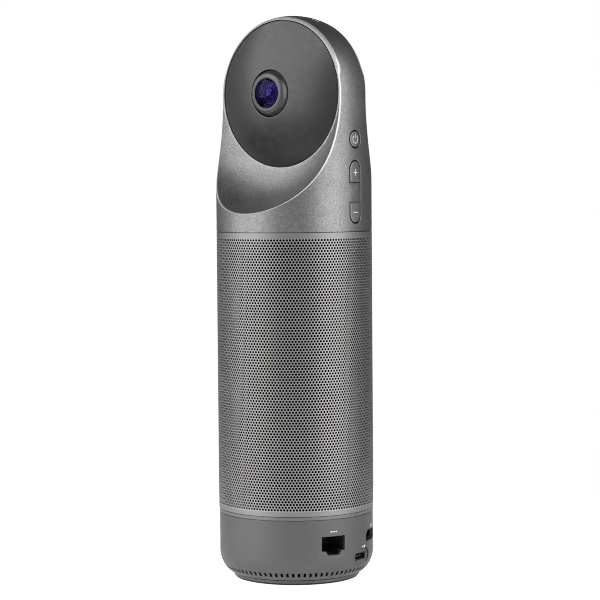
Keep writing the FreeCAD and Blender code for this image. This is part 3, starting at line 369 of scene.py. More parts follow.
# Painted shade: the socket shells are made near-black for the shade inside their openings
for node in ("av_jack", "usb_c_jack"):
    nodes[node].data.materials[0] = FINISHES[SHADED_SOCKET_METAL]


# ---------------------------------------------------------------- new pieces


def add_object(name, data):
    """A new object in the scene."""
    thing = bpy.data.objects.new(name, data)
    bpy.context.scene.collection.objects.link(thing)
    return thing


def add_piece(name, mesh, slot, body=HOUSING, replaced=(), smooth_angle=35.0, finish=None):
    """A new mesh piece, which rides on a body. Its finish is the slot's own unless one is named."""
    mesh.materials.append(FINISHES[finish or slot])
    piece = add_object(name, mesh)
    if smooth_angle:
        mesh.shade_smooth()
        mesh.set_sharp_from_angle(angle=math.radians(smooth_angle))
    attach(piece, body)
    if replaced:
        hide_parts(*replaced)


def mesh_of(name, points, faces):
    """A mesh from points and faces."""
    mesh = bpy.data.meshes.new(name)
    mesh.from_pydata([tuple(p) for p in points], [], [tuple(f) for f in faces])
    mesh.validate()
    return mesh


def loft(loops, cap_first=False, cap_last=False, closed=False):
    """Points and faces of a skin over loops of equally many points, end to end if closed."""
    count = len(loops[0])
    points = [p for loop in loops for p in loop]
    faces = []
    pairs = list(zip(range(len(loops)), range(1, len(loops))))
    if closed:
        pairs.append((len(loops) - 1, 0))
    for a, b in pairs:
        for k in range(count):
            m = (k + 1) % count
            faces.append((a * count + k, a * count + m, b * count + m, b * count + k))
    if cap_first:
        faces.append(tuple(range(count))[::-1])
    if cap_last:
        faces.append(tuple(range((len(loops) - 1) * count, len(loops) * count)))
    return points, faces


def joined(parts):
    """Several sets of points and faces as one."""
    points, faces = [], []
    for more_points, more_faces in parts:
        base = len(points)
        points += more_points
        faces += [tuple(base + i for i in face) for face in more_faces]
    return points, faces


def tidied(mesh, gap=0.0005 * MM):
    """Joins points that lie on each other, and turns all faces outwards."""
    work = bmesh.new()
    work.from_mesh(mesh)
    bmesh.ops.remove_doubles(work, verts=work.verts, dist=gap)
    bmesh.ops.dissolve_degenerate(work, edges=work.edges, dist=gap)
    bmesh.ops.recalc_face_normals(work, faces=work.faces)
    work.to_mesh(mesh)
    work.free()
    return mesh


def arc(start, end, radius, steps=24, hollow=False):
    """Points of an arc between two profile points (distance from the axis, height).

    It bulges outwards along the height, or inwards if hollow.
    """
    a, b = Vector(start), Vector(end)
    half = (b - a).length / 2
    across = Vector((-(b - a).y, (b - a).x)).normalized()
    if (across.y < 0) != hollow:
        across.negate()
    centre = (a + b) / 2 - across * math.sqrt(radius ** 2 - half ** 2)
    first, last = (math.atan2(p.y - centre.y, p.x - centre.x) for p in (a, b))
    angles = np.linspace(first, last, steps + 1)
    return [(centre.x + radius * math.cos(t), centre.y + radius * math.sin(t)) for t in angles]


def cap_radius(half, rise):
    """Radius of a dome of that half width and height."""
    return (half ** 2 + rise ** 2) / (2 * rise)


def turned(name, profile, side, steps, closed=True):
    """A profile of (distance from the lens axis, depth), turned about that axis."""
    angles = [2 * math.pi * k / steps for k in range(steps)]
    loops = [[HEAD.point(rho, angle, depth, side) for angle in angles] for rho, depth in profile]
    return tidied(mesh_of(name, *loft(loops, closed=closed)))


# ---------------------------------------------------------------- the head's skin


def soft_min(a, b, width):
    """The smaller of two numbers, with the corner between them rounded over that width."""
    near = max(width - abs(a - b), 0.0) / width
    return min(a, b) - near * near * width / 4


class Head:
    """The head's skin: how far it lies from the middle plane, at a place seen along the lenses.

    rho is the distance from the lens axis, and turn the angle round it, from +X towards the crown.
    """

    opening = 12.0 * MM  # radius of the bore between the lenses
    seat = 7.8 * MM  # depth of the lens plate's seat
    recess = 35.65 * MM  # radius of the lens plate's recess
    recess_chamfer = 0.2 * MM
    rim = 10.2 * MM  # depth of the flat rim round the recess
    rim_edge = 36.5 * MM  # radius at which the scoop starts
    arc_up, arc_out = 20.6 * MM, 44.3 * MM  # centre of the scoop's arc: radius and depth
    arc = math.hypot(rim_edge - arc_up, arc_out - rim)
    edge_round = 0.7 * MM  # rounding between the scoop and the pillar
    wall = 2.0 * MM
    floor = 176.0 * MM  # height of the socket's end in the foot
    corner = 0.06 * MM
    hair = 0.01 * MM  # tolerance of the tests for a place on the skin

    def __init__(self):
        low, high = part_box("head_housing")
        self.radius = high.x
        self.crown = high.z - high.x
        self.bottom = low.z

    def body(self, rho, turn):
        """Depth of the plain pillar with its round crown."""
        x, z = rho * math.cos(turn), max(rho * math.sin(turn), 0.0)
        return math.sqrt(max(self.radius ** 2 - x * x - z * z, 0.0))

    def scoop(self, rho, turn):
        """Depth of the rim and of the scoop that runs out from it, with the crown's chamfer."""
        depth = self.rim
        if rho > self.rim_edge:
            reach = min(rho - self.arc_up, self.arc)
            depth = self.arc_out - math.sqrt(self.arc ** 2 - reach ** 2)
        return soft_min(depth, self.crown_chamfer(rho, turn), 0.12 * MM)

    def crown_chamfer(self, rho, turn):
        """Depth of the chamfer between the rim and the crown, which runs out below 20 degrees."""
        below = max(0.0, math.sin(math.radians(20)) - math.sin(turn))
        raised = (3.0 * below + 40.0 * below * below) * MM
        return self.rim - (rho - self.recess - self.recess_chamfer) + raised

    def depth(self, rho, turn):
        """Depth of the skin outside the recess."""
        return soft_min(self.body(rho, turn), self.scoop(rho, turn), self.edge_round)

    def end(self, turn):
        """How far a ray from the lens axis runs before it leaves the head at its side or foot."""
        if math.sin(turn) >= 0:
            return self.radius
        side = self.radius / max(abs(math.cos(turn)), 1e-9)
        return min(side, (self.crown - self.bottom) / -math.sin(turn))

    def edge(self, turn):
        """Where the scoop meets the pillar on a ray."""
        near, far = self.recess, self.end(turn)
        for _ in range(40):
            middle = (near + far) / 2
            if self.scoop(middle, turn) < self.body(middle, turn):
                near = middle
            else:
                far = middle
        return near

    def stations(self, turn):
        """Where the skin is sampled on a ray, outside the recess: densest at the scoop's edge."""
        start = self.recess + self.recess_chamfer
        first = start + 0.05 * MM
        edge = max(self.edge(turn), start + 0.1 * MM)
        end = self.end(turn)
        half = max(min(self.edge_round, 0.8 * (edge - first), 0.8 * (end - edge)), 0.0)
        lean = max(abs(math.cos(turn)), 0.02) if math.sin(turn) < 0 else 1.0
        angles = np.linspace(math.asin(min((edge + half) * lean / self.radius, 1.0)),
                             math.asin(min(end * lean / self.radius, 1.0)), 28)
        return np.concatenate([
            [start],
            np.linspace(first, edge - half, 16, endpoint=False),
            np.linspace(edge - half, edge + half, 11, endpoint=False),
            np.sin(angles) * self.radius / lean])

    def point(self, rho, turn, depth, side):
        """A place in space, on the front (-1) or the rear side (1)."""
        return (rho * math.cos(turn), side * depth, self.crown + rho * math.sin(turn))

    def ray(self, turn, side):
        """The skin along one ray: the lens plate's seat, the recess wall, the rim and the rest."""
        inner = [
            (self.opening, self.seat),
            (self.recess - self.corner, self.seat),
            (self.recess, self.seat + self.corner),
            (self.recess, self.rim - self.recess_chamfer),
            (self.recess + self.recess_chamfer - self.corner, self.rim - self.corner)]
        outer = [(rho, self.depth(rho, turn)) for rho in self.stations(turn)]
        return [self.point(rho, turn, depth, side) for rho, depth in inner + outer]

    def turns(self):
        """Angles of the rays, with one through each lower corner of the head."""
        corner = math.atan2(self.bottom - self.crown, self.radius)
        even = [math.radians(2.0 * i) - math.pi for i in range(180)]
        return sorted([*even, corner, -math.pi - corner])

    def solid(self):
        """A closed mesh: both halves, the bore between the lenses, and the foot with its socket."""
        turns = self.turns()
        parts, feet = [], []
        for side in (-1, 1):
            rays = [self.ray(turn, side) for turn in turns]
            loops = [list(loop) for loop in zip(*rays)]
            parts.append(loft(loops))
            feet += [ray[-1] for ray in rays if ray[-1][2] < self.bottom + self.hair]
        bore = [[self.point(self.opening, turn, self.seat, side) for turn in turns]
                for side in (-1, 1)]
        parts.append(loft(bore))
        feet.sort(key=lambda p: math.atan2(p[1], p[0]))
        shrink = (self.radius - self.wall) / self.radius
        inner = [(x * shrink, y * shrink, z) for x, y, z in feet]
        top = [(x, y, self.floor) for x, y, z in inner]
        parts.append(loft([feet, inner, top], cap_last=True))
        return tidied(mesh_of("head_skin", *joined(parts)))

    def polar(self, x, z):
        """rho and turn of a place seen along the lenses."""
        return math.hypot(x, z - self.crown), math.atan2(z - self.crown, x)

    def cut_edge_and_highlight(self, place):
        """How strong the painted edge highlight is: on the rim's chamfers, which are partly real
        cut metal, and along the scoop's outer edge.
        """
        recess_share, crown_share, line_share = 0.55, 0.6, 0.75
        x, y, z = place
        rho, turn = self.polar(x, z)
        if not self.recess - self.hair < rho < self.end(turn) or abs(y) < self.seat + 0.1 * MM:
            return 0.0
        if rho < self.recess + self.recess_chamfer + 0.02 * MM:
            return recess_share if abs(y) > self.rim - 0.25 * MM else 0.0
        body, scoop = self.body(rho, turn), self.scoop(rho, turn)
        if self.crown_chamfer(rho, turn) < self.rim + 0.05 * MM and scoop < body:
            return crown_share
        return min(line_share, max(0.0, 1.5 - abs(body - scoop) / self.edge_round))

    def normal(self, place):
        """The skin's own direction at a point, or None if the point isn't on the open skin."""
        x, y, z = place
        side = 1.0 if y >= 0 else -1.0
        rho, turn = self.polar(x, z)
        off_foot = abs(math.hypot(x, y) - self.radius) > self.hair
        if rho < self.recess + self.recess_chamfer or z < self.bottom + 0.001 * MM and off_foot:
            return None
        if self.body(rho, turn) < self.scoop(rho, turn) - self.edge_round:
            out = Vector((x, y, max(z - self.crown, 0.0)))
            return out.normalized() if abs(out.length - self.radius) < self.hair else None
        if abs(side * y - self.depth(rho, turn)) > 2 * self.hair:
            return None
        slopes = []
        step = 0.01 * MM
        for dx, dz in ((step, 0.0), (0.0, step)):
            depths = []
            for sign in (-1, 1):
                depths.append(self.depth(*self.polar(x + sign * dx, z + sign * dz)))
            slopes.append((depths[1] - depths[0]) / (2 * step))
        return Vector((-slopes[0], side, -slopes[1])).normalized()


def key_outline(half, low, high, low_round, high_round, inset=0.0, steps=12):
    """A key's outline across (Y) and up (Z): a block with its own corner radius at each end."""
    corners = (
        (half - high_round, high - high_round, high_round, 0),
        (high_round - half, high - high_round, high_round, 90),
        (low_round - half, low + low_round, low_round, 180),
        (half - low_round, low + low_round, low_round, 270))
    points = []
    for y, z, radius, start in corners:
        for k in range(steps + 1):
            a = math.radians(start + 90 * k / steps)
            points.append((y + (radius - inset) * math.cos(a), z + (radius - inset) * math.sin(a)))
    return points


def on_pillar(outline, radius, sink=0.0):
    """An outline laid on the +X side of the pillar, sunk below it."""
    return [(math.sqrt(radius ** 2 - y * y) - sink, y, z) for y, z in outline]


HEAD = Head()
KEY_HALF = 4.4 * MM  # half width of the key openings
KEY_GAP = 0.6 * MM  # between a key's cap and its opening
KEY_SINK = 0.15 * MM  # of the caps below the pillar's surface
KEY_CORNER, KEY_SHOULDER, KEY_DEPTH = 0.35 * MM, 0.34 * MM, 3.2 * MM
PILL = (173.2 * MM, 203.6 * MM)  # lower and upper end of the volume keys' opening
POWER_HEIGHT = 213.5 * MM
MINUS_TOP, PLUS_BOTTOM = 183.4 * MM, 192.9 * MM
STRIP_SINK = 0.55 * MM
LIP, LIP_DEPTH, LIP_WALL = 0.34 * MM, 0.3 * MM, 2.6 * MM
LIGHT_TILT = math.radians(22.0)  # of the status light, from the crown towards +X
LIGHT_HALF, LIGHT_END = 0.85 * MM, 2.6 * MM
WINDOW_HALF, WINDOW_STEP = 0.4 * MM, 1.5 * MM


def carve(solid, cutters):
    """The solid without the cutters, as a new mesh."""
    block = add_object("carved", solid)
    tools = []
    for cutter in cutters:
        tool = add_object("cutter", cutter)
        tools.append(tool)
        step = block.modifiers.new("cut", "BOOLEAN")
        step.operation, step.solver, step.object = "DIFFERENCE", "EXACT", tool
    bpy.context.view_layer.update()
    result = block.evaluated_get(bpy.context.evaluated_depsgraph_get())
    done = bpy.data.meshes.new_from_object(result)
    for extra in [block, *tools]:
        bpy.data.objects.remove(extra)
    return done


def key_cutter(name, outline):
    """A prism along X that cuts an outline into the pillar's +X side."""
    near, far = HEAD.radius - 4.6 * MM, HEAD.radius + 2 * MM
    loops = [[(x, y, z) for y, z in outline] for x in (near, far)]
    return tidied(mesh_of(name, *loft(loops, cap_first=True, cap_last=True)))


def on_crown(outline, low, high, place=0.0):
    """A prism square to the crown at the status light, between two heights above the crown."""
    out = Vector((math.sin(LIGHT_TILT), 0, math.cos(LIGHT_TILT)))
    along = Vector((math.cos(LIGHT_TILT), 0, -math.sin(LIGHT_TILT)))
    centre = Vector((0, 0, HEAD.crown))
    loops = [[centre + out * (HEAD.radius + height) + along * (v + place) + Vector((0, u, 0))
              for u, v in outline] for height in (low, high)]
    return loft(loops, cap_first=True, cap_last=True)


def light_slot(name, grow, low, high):
    """The status light's rounded bar, grown by that much all round."""
    half, end = LIGHT_HALF + grow, LIGHT_END + grow
    outline = key_outline(half, -end, end, half * 0.98, half * 0.98, steps=6)
    return tidied(mesh_of(name, *on_crown(outline, low, high)))


def build_head():
    """The head's skin with its key and light openings, shaded with the surface's own normals."""
    hole = KEY_HALF + LIP
    power = key_outline(hole, POWER_HEIGHT - hole, POWER_HEIGHT + hole, hole, hole, steps=16)
    pill = key_outline(hole, PILL[0] - LIP, PILL[1] + LIP, hole, hole, steps=16)
    mesh = carve(HEAD.solid(), [
        key_cutter("power_cutter", power),
        key_cutter("pill_cutter", pill),
        light_slot("light_cutter", 0.08 * MM, -2.5 * MM, 2 * MM)])
    add_piece("head_skin", mesh, "head_shell", replaced=("head_housing",), smooth_angle=None)
    mesh.shade_smooth()
    known = [HEAD.normal(vertex.co) for vertex in mesh.vertices]
    normals = []
    for face in mesh.polygons:
        for index in face.vertices:
            own = known[index]
            normals.append(own if own is not None and own.dot(face.normal) > 0.7 else face.normal)
    mesh.normals_split_custom_set([tuple(n) for n in normals])
    # Strength of the painted edge highlight at each point of the skin
    edges = mesh.attributes.new(CUT_EDGE_AND_HIGHLIGHT, "FLOAT", "POINT")
    edges.data.foreach_set("value", [HEAD.cut_edge_and_highlight(vertex.co) for vertex in mesh.vertices])


def build_key_lips():
    """The fine chamfer round each key opening, and the wall below it."""
    profile = ((LIP, 0.0), (LIP * 0.9, 0.0), (0.0, LIP_DEPTH), (0.0, LIP_WALL), (LIP, LIP_WALL))
    for name, low, high in (
            ("power_key_lip", POWER_HEIGHT - KEY_HALF, POWER_HEIGHT + KEY_HALF),
            ("volume_keys_lip", *PILL)):
        rings = []
        for grow, sink in profile:
            outline = key_outline(KEY_HALF, low, high, KEY_HALF, KEY_HALF, -grow, 16)
            rings.append(on_pillar(outline, HEAD.radius, sink))
        mesh = tidied(mesh_of(name, *loft(rings, closed=True)))
        add_piece(name, mesh, "head_shell", smooth_angle=30)


def cap(name, half, low, high, low_round, high_round, radius):
    """A key cap: side walls, a rounded shoulder and a face that follows the pillar."""
    steps = ((0.0, KEY_DEPTH), (0.0, KEY_SHOULDER), (0.03 * MM, 0.18 * MM), (0.10 * MM, 0.08 * MM),
             (0.20 * MM, 0.02 * MM), (0.32 * MM, 0.0))
    rings = []
    for inset, sink in steps:
        outline = key_outline(half, low, high, low_round, high_round, inset)
        rings.append(on_pillar(outline, radius, sink))
    middle = sum(z for _, z in outline) / len(outline)
    for share in (0.75, 0.5, 0.25, 0.02):
        inner = [(y * share, middle + (z - middle) * share) for y, z in outline]
        rings.append(on_pillar(inner, radius))
    return tidied(mesh_of(name, *loft(rings, cap_first=True, cap_last=True)))


def build_keys():
    """Three key caps, and the sunk strip between the volume keys."""
    half = KEY_HALF - KEY_GAP
    for name, node, low, high, low_round, high_round in (
            ("power_key_cap", "power_key", POWER_HEIGHT - half, POWER_HEIGHT + half, half, half),
            ("volume_up_cap", "volume_up_key", PLUS_BOTTOM, PILL[1] - KEY_GAP, KEY_CORNER, half),
            ("volume_down_cap", "volume_down_key", PILL[0] + KEY_GAP, MINUS_TOP, half, KEY_CORNER)):
        mesh = cap(name, half, low, high, low_round, high_round, HEAD.radius - KEY_SINK)
        add_piece(name, mesh, "key_cap", body=nodes[node]["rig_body"], replaced=(node,),
                  smooth_angle=40)
    strip = cap("key_strip", KEY_HALF + 0.02 * MM, MINUS_TOP + 0.05 * MM, PLUS_BOTTOM - 0.25 * MM,
                KEY_CORNER, KEY_CORNER, HEAD.radius - STRIP_SINK)
    add_piece("key_strip", strip, "head_shell", smooth_angle=40)


def mark(outline, surface):
    """A printed mark: a thin slab on a surface, which gives a point for (across, up, out)."""
    loops = [[surface(y, z, out) for y, z in outline] for out in (-0.05 * MM, 0.04 * MM)]
    return loft(loops, cap_first=True, cap_last=True)


def bar(y, z, width, height):
    """A bar with rounded ends, round a place (across, up)."""
    half = min(width, height) / 2 * 0.9
    outline = key_outline(width / 2, -height / 2, height / 2, half, half, steps=4)
    return [(y + u, z + v) for u, v in outline]


def arc_band(y, z, radius, width, start, end, steps=40):
    """A band along part of a circle, with angles in degrees from +Y."""
    angles = [math.radians(start + (end - start) * k / steps) for k in range(steps + 1)]
    outer, inner = ([(y + r * math.cos(a), z + r * math.sin(a)) for a in angles]
                    for r in (radius + width / 2, radius - width / 2))
    return outer + inner[::-1]


def on_key(y, z, out):
    """A place on the keys' faces: across, up and out."""
    return (math.sqrt((HEAD.radius - KEY_SINK) ** 2 - y * y) + out, y, z)


def build_key_symbols():
    """The standby, plus and minus signs on the keys."""
    stroke, arm = 0.42 * MM, 3.2 * MM
    plus, minus = 197.7 * MM, 178.6 * MM
    signs = {
        "power_symbol": ("power_key", [
            arc_band(0, POWER_HEIGHT, 1.85 * MM, stroke, 125, 415),
            bar(0, POWER_HEIGHT + 1.5 * MM, stroke, 2.0 * MM)]),
        "plus_symbol": ("volume_up_key", [bar(0, plus, arm, stroke), bar(0, plus, stroke, arm)]),
        "minus_symbol": ("volume_down_key", [bar(0, minus, arm, stroke)]),
    }
    for name, (node, outlines) in signs.items():
        mesh = tidied(mesh_of(name, *joined([mark(outline, on_key) for outline in outlines])))
        add_piece(name, mesh, PRINT, body=nodes[node]["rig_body"], smooth_angle=None)


def build_socket_signs():
    """Small signs above the sockets: linked boxes, a ring with a bar, and a screen on its foot.

    Each has its azimuth in degrees, its height and its outlines.
    """
    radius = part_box("base_shell")[1].x
    line = 0.26 * MM
    link_step, link_box = 1.5 * MM, (0.62 * MM, 0.8 * MM)
    screen, screen_side = 2.4 * MM, 1.07 * MM
    signs = {
        "network_sign": (67.0, 26.3 * MM, [
            *(bar(place, 0, *link_box) for place in (-link_step, 0, link_step)),
            bar(0, 0, 3.2 * MM, line)]),
        "plug_sign": (98.0, 16.7 * MM, [
            arc_band(0.9 * MM, 0, 0.6 * MM, 0.22 * MM, 0, 360),
            bar(-0.5 * MM, 0, 1.6 * MM, line),
            bar(-1.2 * MM, 0, line, 0.9 * MM)]),
        "screen_sign": (114.0, 25.5 * MM, [
            bar(0, 0.6 * MM, screen, line), bar(0, -0.4 * MM, screen, line),
            bar(-screen_side, 0.1 * MM, line, 1.2 * MM), bar(screen_side, 0.1 * MM, line, 1.2 * MM),
            bar(0, -0.85 * MM, 1.1 * MM, line)]),
    }
    for name, (azimuth, height, outlines) in signs.items():
        def on_base(along, up, out, azimuth=azimuth, height=height):
            turn = math.radians(azimuth - 90) + along / radius
            return ((radius + out) * math.cos(turn), (radius + out) * math.sin(turn), height + up)
        mesh = tidied(mesh_of(name, *joined([mark(outline, on_base) for outline in outlines])))
        add_piece(name, mesh, PRINT, smooth_angle=None)


def add_turned(side, word, part, profile, slot, steps=PLATE_STEPS, closed=True, **looks):
    """A turned piece of one side's lens group."""
    name = f"{word}_{part}"
    add_piece(name, turned(name, profile, side, steps, closed), slot, **looks)


def in_mm(*points):
    """Profile points that are given in millimetres."""
    return [(rho * MM, depth * MM) for rho, depth in points]


def build_lens_plate(side, word):
    """The domed plate, with its rounded edges at the opening and outside."""
    bore, bore_edge = in_mm((11.33, 17.95), (11.6, 18.13))
    edge, outside = in_mm((35.05, 9.93), (35.35, 9.5))
    plate = in_mm((11.3, 15.6), (11.3, 17.8))
    plate += arc(bore, bore_edge, 0.3 * MM, 4)
    plate += arc(bore_edge, edge, 90 * MM, 40)[1:]
    plate += arc(edge, outside, 0.5 * MM, 4)[1:]
    plate += in_mm((35.35, 7.9), (33.8, 7.9), (33.8, 8.6))
    add_turned(side, word, "plate_skin", plate, "lens_plate",
               replaced=(f"{word}_lens_plate",), smooth_angle=30)


def build_bezel(side, word):
    """The ring round the front glass: a cone with a rounded top and a lip inside."""
    foot, foot_edge = in_mm((10.95, 17.4), (10.75, 17.75))
    shoulder, top = in_mm((9.85, 19.75), (8.2, 20.75))
    bezel = in_mm((8.05, 15.0), (10.95, 15.0)) + [foot]
    bezel += arc(foot, foot_edge, 0.3 * MM, 4)[1:]
    bezel += arc(shoulder, top, 2.6 * MM, 10)
    bezel += in_mm((7.9, 20.78), (7.78, 20.76), (7.68, 20.66), (7.62, 20.4), (7.45, 19.6),
                   (8.05, 19.6))
    add_turned(side, word, "bezel_ring", bezel, "bezel",
               replaced=(f"{word}_lens_bezel",), smooth_angle=30)


def build_lens_rings(side, word):
    """Three stepped rings that show through the front glass."""
    inside, outside, foot, last = 3.1 * MM, 5.45 * MM, 14.0 * MM, 17.1 * MM
    width, fall, hollow = 0.65 * MM, 0.2 * MM, 1.2 * MM
    rings = [(outside, foot), (inside, foot)]
    for inner, top in in_mm((3.1, 18.2), (3.8, 17.8), (4.5, 17.4)):
        rings += arc((inner, top), (inner + width, top - fall), hollow, 5, hollow=True)
    rings += [(outside, last)]
    add_turned(side, word, "lens_rings", rings, "lens_glass", LENS_STEPS,
               smooth_angle=20, finish=LENS_RINGS)


def flat_backed(half, foot, shoulder, top):
    """The profile of a lens with a flat back, a straight side and a domed front."""
    dome = arc((half, shoulder), (0, top), cap_radius(half, top - shoulder), 20)
    return [(0, foot), (half, foot), *dome]


def build_glass(side, word):
    """The domed front glass, hollow behind, and the two lenses below it."""
    edge, seat, rim, apex = 7.2 * MM, 17.4 * MM, 20.7 * MM, 23.4 * MM
    hollow, rise = 5.0 * MM, 2.8 * MM
    dome = arc((0, seat + rise), (hollow, seat), cap_radius(hollow, rise), 20)
    dome += [(edge, seat), (edge, rim)]
    dome += arc((edge, rim), (0, apex), cap_radius(edge, apex - rim), 28)[1:]
    add_turned(side, word, "dome_glass", dome, "lens_glass", LENS_STEPS, closed=False,
               replaced=(f"{word}_dome_lens",))
    second = flat_backed(3.0 * MM, 15.0 * MM, 18.2 * MM, 19.5 * MM)
    add_turned(side, word, "second_glass", second, "lens_glass", LENS_STEPS, closed=False,
               finish=INNER_GLASS)
    inner = flat_backed(5.5 * MM, 9.5 * MM, 11.5 * MM, 13.0 * MM)
    add_turned(side, word, "inner_glass", inner, "lens_glass", LENS_STEPS, closed=False,
               replaced=(f"{word}_inner_lens",), finish=INNER_GLASS)


def build_status_light():
    """A dark bar in the crown with three small light windows in a row."""
    add_piece("status_bar", light_slot("status_bar", -0.02 * MM, -3.0 * MM, 0.03 * MM), "light",
              replaced=("status_light",), smooth_angle=30, finish="black_plastic")
    corner = WINDOW_HALF - 0.02 * MM
    window = key_outline(WINDOW_HALF, -WINDOW_HALF, WINDOW_HALF, corner, corner, steps=6)
    windows = [on_crown(window, -0.6 * MM, 0.05 * MM, place)
               for place in (-WINDOW_STEP, 0.0, WINDOW_STEP)]
    mesh = tidied(mesh_of("status_windows", *joined(windows)))
    add_piece("status_windows", mesh, "light", smooth_angle=30)


GRILLE_ROWS = 100
HOLES_AROUND = 156
GRILLE_SECTORS = 6
HOLE_RADIUS = 0.63 * MM
SHEET = 0.3 * MM
FIRST_ROW, LAST_ROW = 37.38 * MM, 165.75 * MM
CELL_CORNERS = ((1, 0), (1, 1), (0, 1), (-1, 1), (-1, 0), (-1, -1), (0, -1), (1, -1))


class GrilleSector:
    """Part of the perforated sheet: each cell is a round hole in a small rectangle of each face."""

    def __init__(self, first_column, columns):
        low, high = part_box("grille_tube")
        self.low, self.high, self.outer = low.z, high.z, high.x
        self.first, self.columns = first_column, columns
        self.turn = 2 * math.pi / HOLES_AROUND
        self.pitch = (LAST_ROW - FIRST_ROW) / (GRILLE_ROWS - 1)
        self.points, self.faces, self.index = [], [], {}

    def corner(self, half_turns, height, radius):
        """A shared point of the sheet, numbered by half cells round the pillar."""
        key = (half_turns, round(height / MM * 1000), radius)
        if key not in self.index:
            a = half_turns * self.turn / 2
            self.index[key] = len(self.points)
            self.points.append((radius * math.cos(a), radius * math.sin(a), height))
        return self.index[key]

    def both_faces(self, make):
        """Faces from make(radius) on the outer skin, and the same turned round on the inner one."""
        rings = []
        for radius, outward in ((self.outer, True), (self.outer - SHEET, False)):
            ring, quads = make(radius)
            rings.append(ring)
            self.faces += quads if outward else [quad[::-1] for quad in quads]
        return rings

    def cell(self, half_turns, height):
        """One hole with the sheet round it, centred half_turns half cells round the pillar."""
        def make(radius):
            around = [self.corner(half_turns + i, height + j * self.pitch / 2, radius)
                      for i, j in CELL_CORNERS]
            rim = []
            for i, j in CELL_CORNERS:
                a = math.atan2(j, i)
                turn = half_turns * self.turn / 2 + HOLE_RADIUS * math.cos(a) / self.outer
                rim.append(len(self.points))
                self.points.append((radius * math.cos(turn), radius * math.sin(turn),
                                    height + HOLE_RADIUS * math.sin(a)))
            count = len(around)
            quads = [[around[k], around[(k + 1) % count], rim[(k + 1) % count], rim[k]]
                     for k in range(count)]
            return rim, quads
        outer, inner = self.both_faces(make)
        count = len(outer)
        self.faces += [[outer[k], outer[(k + 1) % count], inner[(k + 1) % count], inner[k]]
                       for k in range(count)]

    def hem(self, heights):
        """The plain sheet above or below the holes."""
        first = 2 * self.first - 1
        for low, high in zip(heights, heights[1:]):
            for k in range(first, first + 2 * self.columns):
                def make(radius, k=k):
                    return None, [[self.corner(k, low, radius), self.corner(k + 1, low, radius),
                                   self.corner(k + 1, high, radius), self.corner(k, high, radius)]]
                self.both_faces(make)

    def ends(self, height):
        """The sheet's own edge at its top or bottom."""
        first = 2 * self.first - 1
        for k in range(first, first + 2 * self.columns):
            a, b = (self.corner(k + i, height, self.outer) for i in (0, 1))
            c, d = (self.corner(k + i, height, self.outer - SHEET) for i in (1, 0))
            self.faces.append([a, d, c, b] if height == self.low else [a, b, c, d])

    def build(self, name):
        """The sector's mesh; every other row is shifted by half a cell."""
        for row in range(GRILLE_ROWS):
            shift = row % 2
            for column in range(self.first, self.first + self.columns):
                self.cell(2 * column + shift, FIRST_ROW + row * self.pitch)
        bottom, top = FIRST_ROW - self.pitch / 2, LAST_ROW + self.pitch / 2
        self.hem([self.low, bottom])
        self.hem([top, self.high])
        self.ends(self.low)
        self.ends(self.high)
        return mesh_of(name, self.points, self.faces)


def build_grille():
    """The perforated sheet, in sectors."""
    columns = HOLES_AROUND // GRILLE_SECTORS
    for sector in range(GRILLE_SECTORS):
        name = f"grille_sector_{sector + 1}"
        mesh = GrilleSector(sector * columns, columns).build(name)
        add_piece(name, mesh, "grille", replaced=("grille_tube",), smooth_angle=40)


build_head()
build_key_lips()
build_keys()
build_key_symbols()
build_socket_signs()
for side, word in SIDES:
    build_lens_plate(side, word)
    build_bezel(side, word)
    build_lens_rings(side, word)
for side, word in SIDES:
    build_glass(side, word)
build_status_light()
build_grille()


# ---------------------------------------------------------------- floor, lights and camera


CAMERA_TURN = math.radians(38.8)  # from the front lens (-Y) towards +X
CAMERA_DISTANCE, CAMERA_HEIGHT = 1026.7 * MM, 192.3 * MM
CAMERA_PITCH, CAMERA_ROLL, CAMERA_YAW = (math.radians(angle) for angle in (3.168, -0.436, 0.144))
FOCAL_LENGTH, SENSOR_WIDTH = 125.7, 36.0  # in millimetres, as Blender wants them
FLOOR_RADIUS, FLOOR_SIDES = 0.30, 96
AIM_HEIGHT = 0.15  # of the point that the softboxes face
ROOM_FRONT, ROOM_BACK, ROOM_TOP = 0.62, 0.10, 0.12
SOFTBOXES = (  # azimuth and elevation in degrees, distance, width, height, power in watts
    ("left_softbox", -69.5, 24, 1.1, 1.45, 1.6, 24),
    ("right_softbox", 59.5, 14, 1.1, 1.05, 1.4, 16),
    ("top_softbox", -15, 48, 1.2, 1.2, 0.6, 2.5),
    ("edge_softbox", -118, 18, 1.1, 0.5, 1.4, 1.2),
)


def turned_about_z(x, y, z):
    """A point given with the camera on −Y, turned to the camera's real side of the object."""
    c, s = math.cos(CAMERA_TURN), math.sin(CAMERA_TURN)
    return Vector((c * x - s * y, s * x + c * y, z))


def direction_of(azimuth, elevation):
    """A unit vector, with the azimuth counted from the camera's side to its right-hand side."""
    level, up = math.cos(elevation), math.sin(elevation)
    return turned_about_z(math.sin(azimuth) * level, -math.cos(azimuth) * level, up)


